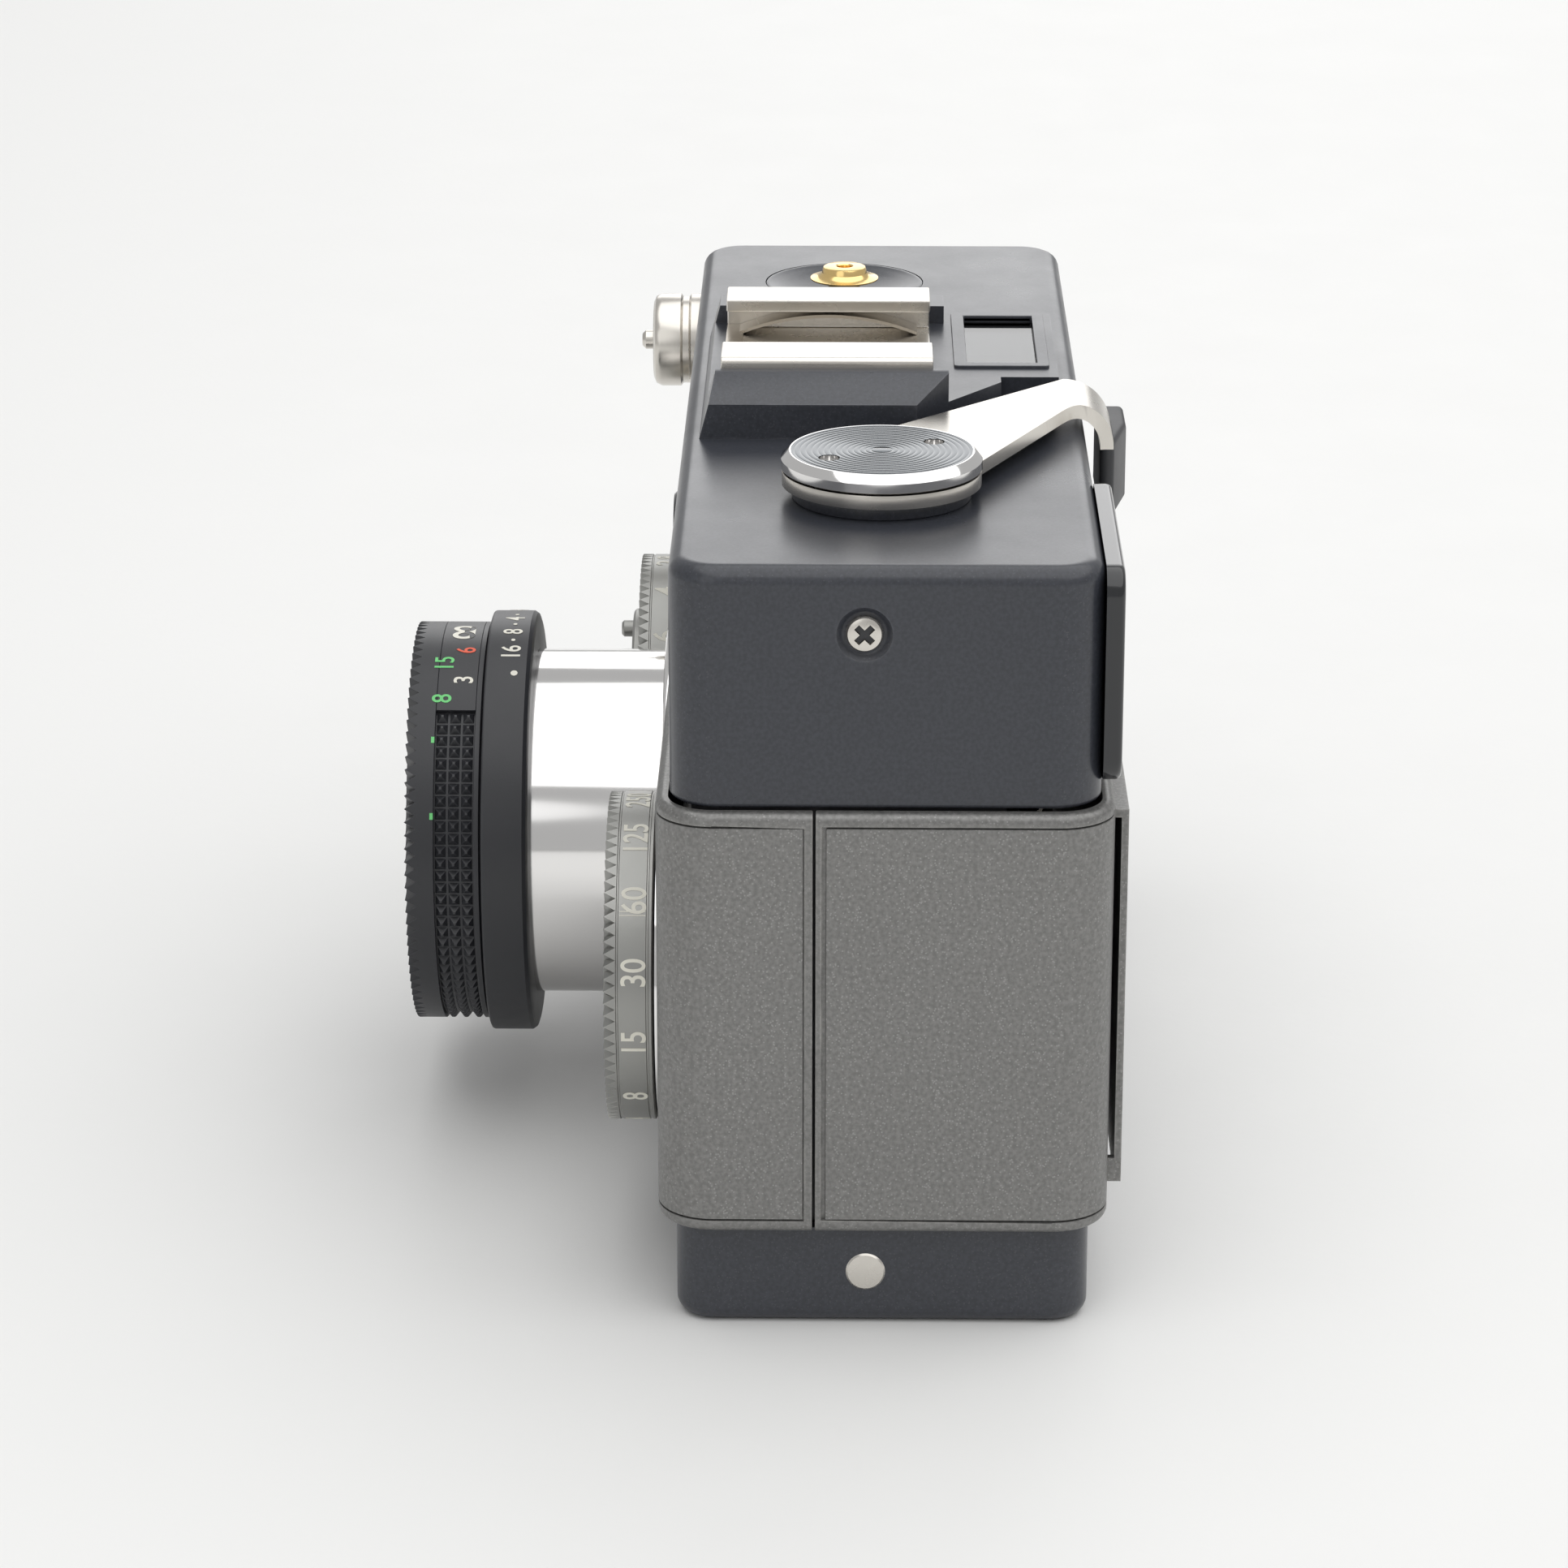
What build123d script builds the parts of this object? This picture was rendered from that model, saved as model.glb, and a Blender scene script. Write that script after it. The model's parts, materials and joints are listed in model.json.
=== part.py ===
"""Compact 35 mm film camera with a collapsible lens, as an assembly of separate pieces.

The origin is the mouth of the tripod socket, at the centre of the base.
+X points to the photographer's left-hand end, which carries the advance lever.
-Y is the way the lens looks, and +Z is up. All sizes are in millimetres.
"""

from build123d import *

import math
import os

os.makedirs("parts", exist_ok=True)

# Overall body
body_length = 97.0
body_depth = 32.0
body_height = 56.5
body_corner = 4.0

# Clearances
running = 0.05
slip = 0.3
snug = 0.02
hairline = 0.1

# Grey middle section: a fixed front half and a back cover that slides off downwards
grey_low = 7.6
grey_high = 39.1
grey_wall = 0.9
grey_rim = 0.7
seam_y = -4.9
seam_gap = 0.18
panel_depth = 0.3
panel_margin = 1.05
panel_seam_front = 0.67
panel_seam_back = 0.73
panel_groove = 0.14

# Black top plate
top_low = grey_high + hairline
top_inset = 0.9
top_depth = 30.0
top_corner = 3.4
top_edge = 1.3
top_wall = 0.9
top_skin = 1.0

# Black bottom cover
base_inset = 0.4
base_wall = 1.1
base_floor = 0.8
base_edge = 1.2
base_high = grey_low - hairline

# Accessory shoe and the raised deck that carries it
deck_high = body_height + 2.0
deck_front = -13.7
deck_near = 14.9
deck_far = -15.4
deck_rear = 13.2
deck_corner_y = 2.35
deck_bevel = (5.9, 8.8)
deck_step_x = 4.4
deck_lean = 1.1
guard_high = body_height + 4.2
guard_wall_high = body_height + 2.6
guard_top_x = 11.6
guard_end_y = 4.75
far_guard_high = body_height + 3.4
shoe_mid_x = -0.7
shoe_front = -12.2
shoe_rear = 3.6
shoe_top = body_height + 5.0
shoe_slot_width = 18.7
shoe_slot_height = 1.95
shoe_mouth = 12.6
shoe_wall = 1.85
shoe_lip = 0.9
shoe_floor = 0.6
spring_leaf = 0.25
spring_leg = 2.4
spring_rise = 1.35

# Exposure meter seen through the deck
window_length = 14.5
window_depth = 5.4
window_mid_x = -6.35
window_mid_y = 9.0
window_glass = 0.8
window_sunk = 0.3
scale_thickness = 0.4
scale_drop = 1.3
needle_pivot_y = 2.0
needle_hub = 1.6
needle_shaft = 0.6
needle_width = 0.5
needle_thickness = 0.3
movement_depth = 14.5
movement_height = 7.0
movement_margin = 0.6
movement_bore = 4.0
movement_post = 4.0
needle_stem = 3.5
needle_rise = 0.6

# Viewfinder
finder_mid_x = 38.4
finder_mid_z = body_height - 8.0
finder_width = 11.6
finder_height = 11.8
finder_wall = 0.8
finder_glass = 0.9
finder_foot = 3.0
eyepiece_left = 23.0
eyepiece_right = 46.5
eyepiece_low = finder_mid_z - 8.0
eyepiece_high = finder_mid_z + 7.5
eyepiece_thick = 1.3
eyepiece_corner = 2.0
eyepiece_glass = 1.0

# Front fittings of the top plate
terminal_x = -42.0
terminal_z = body_height - 7.1
terminal_radius = 3.9
terminal_reach = 4.2
terminal_bore = 2.6
terminal_pin = 0.8
terminal_pin_reach = 5.2
cell_x = 14.0
cell_z = body_height - 8.0
cell_radius = 3.6
cell_reach = 0.6
cell_lip = 1.0
cell_glass_margin = 1.4
cell_glass_sunk = 0.2
cell_spigot = 3.0
cell_chamfer = 0.25

# Advance lever
lever_x = 29.8
lever_y = -0.3
lever_low = body_height + 1.0
lever_thick = 1.0
lever_radius = 7.1
lever_collar = 6.4
lever_shaft_radius = 2.0
lever_bend = 2.6
lever_drop = body_height - 1.8
lever_leg_y = top_depth / 2 + 1.1
lever_far_edge = (4.9, lever_leg_y - lever_bend)
lever_near_edge = (13.2, lever_leg_y - lever_bend)
lever_leg_near = (11.0, lever_leg_y - 1.2)
lever_far_root = (24.8, -5.3)
lever_near_root = (31.8, 5.0)
cap_low = body_height + 2.1
cap_high = body_height + 3.4
cap_radius = 7.16
cap_bevel = 0.56
cap_bore_radius = 0.75
cap_bore_spacing = 4.3
pad_left = 0.5
pad_right = lever_leg_near[0]
pad_wedge = 5.5
pad_low = body_height - 7.2
pad_high = body_height - 1.2
pad_back = lever_leg_y + 2.2
pad_edge = 0.6

# Shutter release
release_x = -33.7
release_y = -3.1
dish_radius = 6.5
dish_high = body_height
dish_low = body_height - 1.7
dish_bowl = 6.1
dish_bowl_depth = 1.1
button_radius = 1.8
button_flare = 2.8
button_high = body_height + 1.35
button_travel = 1.0
button_stem = 1.3
button_stem_low = body_height - 7.0
button_neck = body_height + 0.72
button_edge = 0.25
button_collar = 2.5
button_collar_drop = 1.1
button_collar_thick = 0.8
cable_socket = 0.6
cable_tip = 0.4
cable_depth = 2.4
release_spring_low = body_height - 6.0
release_spring_turns = 6
release_spring_wire = 0.3
release_spring_radius = 2.1
bracket_half = 4.0
bracket_thick = 1.0

# Film transport under the top plate
sprocket_x = 25.8
sprocket_y = 2.95
sprocket_radius = 4.85
sprocket_teeth = 8
sprocket_tooth = 1.3
sprocket_tooth_reach = 1.1
sprocket_inset = 0.6
sprocket_core = 4.2
sprocket_shaft = 1.2
sprocket_band = 2.6
wind_teeth = 36
spool_gear_teeth = 18
spool_wheel_teeth = 36
sprocket_gear_teeth = 26
wheel_low = 39.4
wheel_thick = 0.9
gear_low = 40.6
gear_thick = 1.3
spool_x = 38.6
spool_y = 2.6
spool_core = 4.6
spool_flange = 6.6
spool_flange_thick = 1.0
spool_shaft = 1.5
spool_slot = 1.2
finger_radius = 2.6
film_width = 35.0
film_aperture = (36.0, 24.0)

# Frame counter in the base
counter_x = 16.0
counter_y = 3.3
counter_low = 2.0
counter_thick = 0.5
counter_window_radius = 1.8
counter_window_offset = 4.4

# Lens
axis_z = 21.2
barrel_radius = 13.5
barrel_wall = 0.8
barrel_rear = -7.4
flange_radius = 15.6
flange_thick = 0.8
flange_spigot = 14.4
tube_wall = 1.25
tube_rear = -3.0
key_ring_thick = 1.6
key_ring_bore = 11.6
head_rear = -26.9
depth_ring_radius = 16.5
depth_ring_front = -30.45
focus_ring_radius = 15.6
focus_ring_front = -36.3
focus_ring_bore = 13.2
focus_teeth = 96
focus_tooth_depth = 0.55
focus_tooth_length = 0.8
collapse = 9.3
nose_front = -34.4
nose_bore = 11.4
bezel_front = -35.3
bezel_radius = 12.8
bezel_lip = 1.2
bezel_funnel = 0.5
bezel_reach = 3.2
front_glass_radius = 8.0
front_glass_bulge = 40.0
front_glass_thick = 2.4
rear_glass_radius = 5.5
rear_glass_thick = 1.8
shutter_rear = -21.0
shutter_bore = 4.8
blade_room_front = -27.4
blade_room_rear = -25.6
blade_room_radius = 11.6
blade_thick = 0.2
blade_radius = 5.3
blade_pivot = 9.3
blade_pin = 0.5
blade_overlap = 0.3

# Front dials
dial_x = 30.0
dial_z = 21.5
dial_radius = 12.0
dial_rear = -16.4
dial_front = -19.95
dial_tooth_length = 0.75
dial_tooth_depth = 0.5
dial_teeth = 84
dial_shaft = 2.0
dial_shaft_rear = -11.5
seat_radius = 11.7
speed_disc_radius = 7.4
speed_disc_thick = 0.7
speed_tab_height = 6.7
speed_tab_reach = 1.0
speed_tab_radius = 0.7

# Main casting, with its chambers
casting_side = body_length / 2 - 2.5
casting_corner = 2.0
casting_front = -13.5
casting_rear = 8.4
casting_low = 3.2
casting_floor = 0.8
casting_deck = 1.0
rail_height = 0.6
rail_width = 1.4
rail_margin = 0.4
light_box = (35.0, 23.2)
light_box_front = -2.0
gate_thick = 2.8
cassette_x = -32.4
cassette_y = 1.0
cassette_room = 12.9
cassette_top = 45.0
tower_wall = 0.9
takeup_left = 19.4
takeup_right = 45.2
takeup_front = -9.5
chamber_split = 17.75
dial_pocket = 9.0
dial_pocket_rear = -10.5

# Pressure plate and its spring
plate_half = 19.2
plate_foot_half = 17.8
plate_low = 7.2
plate_high = 36.6
plate_thick = 1.0
plate_gap = 0.3
plate_pin = 0.6
plate_pin_z = 5.0
plate_lug_wall = 0.4
press_spring_half = 12.0
press_spring_width = 7.0
press_spring_leaf = 0.35
press_spring_rise = 3.2

# Rewind crank in the base
recess_radius = 10.4
recess_ceiling = 2.2
recess_wall = 0.8
hub_radius = 3.2
hub_low = 0.3
rewind_shaft_radius = 2.0
fork_high = 6.8
fork_width = 3.6
fork_thick = 1.0
crank_reach = 7.6
crank_width = 2.2
crank_thick = 1.0
crank_axis_z = 1.0
knob_radius = 2.0
knob_low = 0.35
knob_high = 1.9

# Tripod bush, latch, studs and screws
bush_radius = 5.0
bush_high = 5.6
socket_radius = 3.175
socket_depth = 4.6
latch_x = 37.5
latch_y = -3.0
latch_radius = 4.6
latch_thick = 1.0
latch_low = 0.3
latch_grip = 1.2
latch_shaft = 1.5
latch_arm = 7.0
latch_arm_width = 2.4
latch_arm_low = 2.3
latch_arm_thick = 0.6
stud_y = -1.2
stud_z = 4.1
stud_radius = 1.4
stud_reach = 0.22
screw_y = -1.5
screw_z = body_height - 4.7
screw_head = 1.27
screw_recess = 1.8
screw_recess_depth = 0.5
screw_head_thick = 0.6
screw_shank = 0.8
screw_length = 2.2
cross_width = 0.4
cross_length = 1.6
cross_depth = 0.3

# Film box end holder on the back
memo_left = -2.0
memo_right = 44.0
memo_low = 9.8
memo_high = 38.0
memo_plate = 0.5
memo_gap = 0.5
memo_lip = 0.6

# Derived places
half_length = body_length / 2
half_depth = body_depth / 2
base_length = body_length - 2 * (grey_wall + base_inset)
base_depth = body_depth - 2 * (grey_wall + base_inset)
base_corner = body_corner - grey_wall - base_inset
top_front = -top_depth / 2
top_rear = top_depth / 2
top_length = body_length - 2 * top_inset
top_end = top_length / 2
film_y = casting_rear + rail_height
plate_pin_y = film_y + plate_gap + plate_thick / 2
well_rear = barrel_rear + key_ring_thick + collapse + slip
bowl_sphere = (dish_bowl ** 2 + dish_bowl_depth ** 2) / (2 * dish_bowl_depth)
bowl_rise = bowl_sphere - math.sqrt(bowl_sphere ** 2 - button_flare ** 2)
shoe_low = shoe_top - shoe_lip - shoe_slot_height - shoe_floor
shoe_outer = shoe_slot_width + 2 * shoe_wall
glass_high = deck_high - window_sunk
needle_z = body_height - top_skin - scale_drop + scale_thickness
counter_radius = math.dist((counter_x, counter_y), (sprocket_x, sprocket_y)) - finger_radius - slip
film_low = axis_z - film_width / 2
film_high = axis_z + film_width / 2


def block(x_low, x_high, y_low, y_high, z_low, z_high):
    """Plain box between two corners."""
    size = (x_high - x_low, y_high - y_low, z_high - z_low)
    return Pos((x_low + x_high) / 2, (y_low + y_high) / 2, (z_low + z_high) / 2) * Box(*size)


def disc_z(x, y, radius, low, high):
    """Upright cylinder."""
    return Pos(x, y, (low + high) / 2) * Cylinder(radius, high - low)


def disc_y(x, z, radius, front, rear):
    """Cylinder along the way the lens looks."""
    return Pos(x, (front + rear) / 2, z) * Rot(90, 0, 0) * Cylinder(radius, rear - front)


def disc_x(y, z, radius, low, high):
    """Cylinder along the length of the body."""
    return Pos((low + high) / 2, y, z) * Rot(0, 90, 0) * Cylinder(radius, high - low)


def ring_y(x, z, radius, bore, front, rear):
    """Tube along the way the lens looks."""
    return disc_y(x, z, radius, front, rear) - disc_y(x, z, bore, front - 1, rear + 1)


def slab(length, depth, corner, low, high):
    """Upright prism with rounded corners, centred on the origin."""
    return Pos(0, 0, low) * extrude(RectangleRounded(length, depth, corner), high - low)


def prism(points, low, high):
    """Upright prism over a closed outline."""
    return Pos(0, 0, low) * extrude(make_face(Polyline(*points, close=True)), high - low)


def toothed_outline(count, tip, root, tip_share, root_share):
    """Closed outline with straight-sided teeth round a circle."""
    points = []
    pitch = 2 * math.pi / count
    for index in range(count):
        middle = index * pitch
        corners = [(root, -0.5 + root_share / 2), (tip, -tip_share / 2), (tip, tip_share / 2)]
        corners.append((root, 0.5 - root_share / 2))
        for radius, share in corners:
            angle = middle + share * pitch
            points.append((radius * math.cos(angle), radius * math.sin(angle)))
    return make_face(Polyline(*points, close=True))


def gear(centre, teeth, module, turn, low, thick):
    """Flat gear with clearance round its teeth, drawn on its bare axis."""
    pitch_radius = module * teeth / 2
    outline = toothed_outline(teeth, pitch_radius + 0.7 * module, pitch_radius - 1.1 * module, 0.14, 0.24)
    return Pos(*centre, low) * Rot(0, 0, turn) * extrude(outline, thick)


def meshing_module(first, first_teeth, second, second_teeth):
    """Tooth size that two gears need at their distance."""
    return 2 * math.dist(first, second) / (first_teeth + second_teeth)


def meshing_turn(first, first_teeth, first_turn, second, second_teeth):
    """Turn that puts a gap of the second gear where the first one has a tooth."""
    bearing = math.degrees(math.atan2(second[1] - first[1], second[0] - first[0]))
    first_pitch = 360 / first_teeth
    share = ((bearing - first_turn) % first_pitch) / first_pitch
    return bearing + 180 - (0.5 - share) * 360 / second_teeth


def serrated_disc(x, z, radius, depth, count, front, rear):
    """Disc with fine teeth round its edge, along the way the lens looks."""
    outline = toothed_outline(count, radius, radius - depth, 0.08, 0.08)
    return Pos(x, rear, z) * Rot(90, 0, 0) * extrude(outline, rear - front)


def grey_section(outer_inset, inner_inset):
    """Wall of the middle section between two insets from its outside."""
    outer = slab(body_length - 2 * outer_inset, body_depth - 2 * outer_inset,
                 body_corner - outer_inset, grey_low, grey_high)
    inner = slab(body_length - 2 * inner_inset, body_depth - 2 * inner_inset,
                 body_corner - inner_inset, grey_low - 1, grey_high + 1)
    return outer, inner


def grey_shell():
    """Whole middle section as one tube with softened rims."""
    outer, inner = grey_section(0, grey_wall)
    rims = outer.faces().sort_by(Axis.Z)
    outer = fillet(rims[0].edges() + rims[-1].edges(), grey_rim)
    return outer - inner


def panel_band(y_low, y_high, grow):
    """Thin skin let into the outside of the middle section."""
    outer, inner = grey_section(0, panel_depth + (hairline / 2 if grow else 0))
    band = outer - inner
    keep = block(-half_length - 1, half_length + 1, y_low - grow, y_high + grow,
                 grey_low + panel_margin - grow, grey_high - panel_margin + grow)
    return band & keep


def lens_clear(radius, front, rear):
    """Round opening on the lens axis."""
    return disc_y(0, axis_z, radius, front, rear)


def dial_clear(radius, front, rear):
    """Two round openings on the dial axes."""
    return disc_y(dial_x, dial_z, radius, front, rear) + disc_y(-dial_x, dial_z, radius, front, rear)


# Axes and tooth sizes of the film transport
lever_axis = (lever_x, lever_y)
spool_axis = (spool_x, spool_y)
sprocket_axis = (sprocket_x, sprocket_y)
wind_module = meshing_module(lever_axis, wind_teeth, spool_axis, spool_gear_teeth)
wheel_module = meshing_module(spool_axis, spool_wheel_teeth, sprocket_axis, sprocket_gear_teeth)

# Limits of the two inlaid skins, along the depth of the body
front_skin = (-half_depth - 1, seam_y - seam_gap / 2 - panel_seam_front)
back_skin = (seam_y + seam_gap / 2 + panel_seam_back, half_depth + 1)


def make_front_shell():
    """Fixed front half of the grey middle section."""
    half = block(-half_length - 1, half_length + 1, -half_depth - 1, seam_y - seam_gap / 2,
                 grey_low - 1, grey_high + 1)
    shell = grey_shell() & half
    shell -= panel_band(*front_skin, panel_groove)
    shell -= lens_clear(flange_spigot, -half_depth - 1, 0)
    return shell - dial_clear(dial_shaft + running, -half_depth - 1, 0)


def make_front_panel():
    """Textured skin of the front half, round both ends."""
    skin = panel_band(*front_skin, 0)
    skin -= lens_clear(flange_radius + panel_groove, -half_depth - 1, 0)
    return skin - dial_clear(seat_radius + panel_groove, -half_depth - 1, 0)


def make_back_cover():
    """Grey rear half of the middle section, which slides off downwards."""
    half = block(-half_length - 1, half_length + 1, seam_y + seam_gap / 2, half_depth + 1,
                 grey_low - 1, grey_high + 1)
    shell = grey_shell() & half
    return shell - panel_band(*back_skin, panel_groove)


def make_back_panel():
    """Textured skin of the back cover, round both ends."""
    return panel_band(*back_skin, 0)


def make_memo_holder():
    """Thin plate that holds the end of a film box against the back."""
    seat = half_depth
    plate = block(memo_left, memo_right, seat + memo_gap, seat + memo_gap + memo_plate,
                  memo_low, memo_high)
    top_lip = block(memo_left, memo_right, seat, seat + memo_gap + memo_plate,
                    memo_high - memo_lip, memo_high)
    holder = plate + top_lip
    for x in (memo_left, memo_right - memo_lip):
        foot = block(x, x + memo_lip, seat, seat + memo_gap, memo_low, memo_low + 3 * memo_lip)
        holder += foot
    return holder


def make_top_plate():
    """Black pressed cover of the top, open below."""
    shell = slab(top_length, top_depth, top_corner, top_low, body_height)
    shell = fillet(shell.faces().sort_by(Axis.Z)[-1].edges(), top_edge)
    shell -= slab(top_length - 2 * top_wall, top_depth - 2 * top_wall, top_corner - top_wall,
                  top_low - 1, body_height - top_skin)
    shell -= disc_z(lever_x, lever_y, lever_shaft_radius + running, body_height - 2, body_height + 1)
    shell -= disc_z(release_x, release_y, dish_radius + snug, body_height - 2, body_height + 1)
    shell -= window_well(body_height - 2, body_height + 1)
    shell -= finder_well(0, top_front - 1, 0)
    shell -= finder_well(0, 0, top_rear + 1)
    shell -= disc_y(cell_x, cell_z, cell_radius - 1, top_front - 1, 0)
    shell -= disc_y(terminal_x, terminal_z, terminal_bore, top_front - 1, 0)
    for side in (-1, 1):
        shell -= end_recess(side)
    return shell


def window_well(low, high):
    """Opening of the meter window."""
    return block(window_mid_x - window_length / 2, window_mid_x + window_length / 2,
                 window_mid_y - window_depth / 2, window_mid_y + window_depth / 2, low, high)


def finder_well(inset, front, rear):
    """Clear opening of the viewfinder."""
    half_width = finder_width / 2 - finder_wall - inset
    half_height = finder_height / 2 - finder_wall - inset
    return block(finder_mid_x - half_width, finder_mid_x + half_width, front, rear,
                 finder_mid_z - half_height, finder_mid_z + half_height)


def end_recess(side):
    """Dimple and hole for the screw at one end of the top plate."""
    face = side * top_end
    depth = face - side * screw_recess_depth
    dimple = disc_x(screw_y, screw_z, screw_recess, min(face, depth), max(face, depth) + 0.001)
    return dimple + disc_x(screw_y, screw_z, screw_shank + snug, min(face, 0), max(face, 0))


def make_screws():
    """Cross-head screws that hold the top plate at both ends."""
    screws = None
    for side in (-1, 1):
        seat = side * (top_end - screw_recess_depth)
        outer = seat + side * screw_head_thick
        inner = seat - side * screw_length
        head = disc_x(screw_y, screw_z, screw_head, min(seat, outer), max(seat, outer))
        head = fillet(head.faces().sort_by(Axis.X)[-1 if side > 0 else 0].edges(), 0.25)
        for wide, tall in ((cross_width, cross_length), (cross_length, cross_width)):
            floor = outer - side * cross_depth
            mouth = outer + side
            head -= block(min(floor, mouth), max(floor, mouth), screw_y - wide / 2, screw_y + wide / 2,
                          screw_z - tall / 2, screw_z + tall / 2)
        screw = head + disc_x(screw_y, screw_z, screw_shank, min(seat, inner), max(seat, inner))
        screws = screw if screws is None else screws + screw
    return screws


def make_studs():
    """Domed studs at both ends of the bottom cover."""
    end = base_length / 2
    near = disc_x(stud_y, stud_z, stud_radius, end, end + stud_reach)
    near = fillet(near.faces().sort_by(Axis.X)[-1].edges(), stud_reach - running)
    far = disc_x(stud_y, stud_z, stud_radius, -end - stud_reach, -end)
    far = fillet(far.faces().sort_by(Axis.X)[0].edges(), stud_reach - running)
    return near + far


def make_shoe_deck():
    """Raised deck with the sloping guards beside the shoe and the well of the meter window."""
    outline = [(deck_near, deck_front), (deck_near, deck_corner_y), (guard_top_x, guard_end_y),
               deck_bevel, (deck_step_x, deck_bevel[1]), (deck_step_x, deck_rear),
               (deck_far, deck_rear), (deck_far, deck_front)]
    deck = prism(outline, body_height, deck_high)
    shoe_near = shoe_mid_x + shoe_outer / 2
    profile = [(deck_near, deck_high), (deck_near, guard_wall_high), (guard_top_x, guard_high),
               (shoe_near, guard_high), (shoe_near, deck_high)]
    guard = extrude(make_face(Polyline(*[(x, 0, z) for x, z in profile], close=True)),
                    amount=1, dir=(0, 1, 0))
    guard = Pos(0, deck_front, 0) * scale(guard, by=(1, guard_end_y - deck_front, 1))
    guard &= prism(outline, deck_high - 1, guard_high + 1)
    deck += guard
    shoe_far = shoe_mid_x - shoe_outer / 2
    deck += block(deck_far, shoe_far, deck_front, guard_end_y, body_height, far_guard_high)
    deck -= block(shoe_far, shoe_near, shoe_front, shoe_rear, shoe_low, deck_high + 1)
    lean = [(deck_front, body_height), (deck_front + deck_lean, guard_high),
            (deck_front + deck_lean, guard_high + 1), (deck_front - 1, guard_high + 1),
            (deck_front - 1, body_height)]
    wedge = make_face(Polyline(*[(deck_far - 1, y, z) for y, z in lean], close=True))
    deck -= extrude(wedge, amount=deck_near - deck_far + 2, dir=(1, 0, 0))
    return deck - window_well(body_height - 1, deck_high + 1)


def make_shoe():
    """Bright channel with two lips that takes a flash foot."""
    half = shoe_outer / 2
    shoe = block(shoe_mid_x - half, shoe_mid_x + half, shoe_front, shoe_rear, shoe_low, shoe_top)
    edges = shoe.edges().filter_by(Axis.Y).group_by(Axis.Z)[-1]
    shoe = fillet(edges, 0.5)
    slot_low = shoe_low + shoe_floor
    shoe -= block(shoe_mid_x - shoe_slot_width / 2, shoe_mid_x + shoe_slot_width / 2,
                  shoe_front - 1, shoe_rear + 1, slot_low, slot_low + shoe_slot_height)
    return shoe - block(shoe_mid_x - shoe_mouth / 2, shoe_mid_x + shoe_mouth / 2,
                        shoe_front - 1, shoe_rear + 1, slot_low, shoe_top + 1)


def make_shoe_spring():
    """Leaf spring with an arched leg under each lip of the shoe."""
    slot_low = shoe_low + shoe_floor
    front = shoe_front + 1.0
    rear = shoe_rear - 1.0
    middle = (front + rear) / 2
    spring = None
    for side in (-1, 1):
        outer = shoe_mid_x + side * (shoe_slot_width / 2 - 2 * snug)
        inner = outer - side * spring_leg
        low_x = min(outer, inner)
        lower = ThreePointArc((low_x, front, slot_low), (low_x, middle, slot_low + spring_rise),
                              (low_x, rear, slot_low))
        upper = ThreePointArc((low_x, front, slot_low + spring_leaf),
                              (low_x, middle, slot_low + spring_rise + spring_leaf),
                              (low_x, rear, slot_low + spring_leaf))
        ends = [Line(lower @ 0, upper @ 0), Line(lower @ 1, upper @ 1)]
        leg = extrude(make_face([lower, upper] + ends), amount=spring_leg, dir=(1, 0, 0))
        spring = leg if spring is None else spring + leg
    tie = block(shoe_mid_x - shoe_slot_width / 2 + 2 * snug, shoe_mid_x + shoe_slot_width / 2 - 2 * snug,
                shoe_front, front + 0.3, slot_low, slot_low + spring_leaf)
    return spring + tie


def make_meter_window():
    """Clear cover of the exposure meter."""
    glass = window_well(glass_high - window_glass, glass_high)
    middle = (window_mid_x, window_mid_y)
    keep = block(middle[0] - window_length / 2 + snug, middle[0] + window_length / 2 - snug,
                 middle[1] - window_depth / 2 + snug, middle[1] + window_depth / 2 - snug,
                 glass_high - window_glass, glass_high)
    return glass & keep


def make_meter_scale():
    """Scale plate under the meter window."""
    high = needle_z
    return block(window_mid_x - window_length / 2 - 1, window_mid_x + window_length / 2 + 1,
                 window_mid_y - window_depth / 2 - 0.6, window_mid_y + window_depth / 2 + 0.6,
                 high - scale_thickness, high)


def make_meter_movement():
    """Housing of the moving-coil meter, with the bearing of its needle."""
    high = needle_z - scale_thickness
    rear = window_mid_y + window_depth / 2 + movement_margin
    body = block(window_mid_x - window_length / 2, window_mid_x + window_length / 2,
                 rear - movement_depth, rear, high - movement_height, high)
    body -= disc_z(window_mid_x, needle_pivot_y, needle_shaft + running, high - movement_bore, high + 1)
    post = block(window_mid_x - movement_post / 2, window_mid_x + movement_post / 2,
                 rear - movement_post, rear, top_low, high - movement_height)
    return body + post


def make_meter_needle():
    """Needle on its turning hub."""
    plate_high = needle_z - scale_thickness
    hub = disc_z(window_mid_x, needle_pivot_y, needle_hub, plate_high + running, needle_z + needle_rise)
    hub += disc_z(window_mid_x, needle_pivot_y, needle_shaft, plate_high - needle_stem, needle_z)
    tip = window_mid_y + window_depth / 2 - movement_margin
    return hub + block(window_mid_x - needle_width / 2, window_mid_x + needle_width / 2,
                       needle_pivot_y, tip, needle_z + slip, needle_z + slip + needle_thickness)


def make_eyepiece_frame():
    """Glossy frame round the viewfinder eyepiece."""
    width = eyepiece_right - eyepiece_left
    height = eyepiece_high - eyepiece_low
    frame = extrude(RectangleRounded(width, height, eyepiece_corner), eyepiece_thick)
    frame = fillet(frame.faces().sort_by(Axis.Z)[-1].edges(), 0.45)
    frame = Rot(-90, 0, 0) * frame
    frame = Pos((eyepiece_left + eyepiece_right) / 2, top_rear, (eyepiece_low + eyepiece_high) / 2) * frame
    return frame - finder_well(-0.2, top_rear - 1, top_rear + eyepiece_thick + 1)


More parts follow.
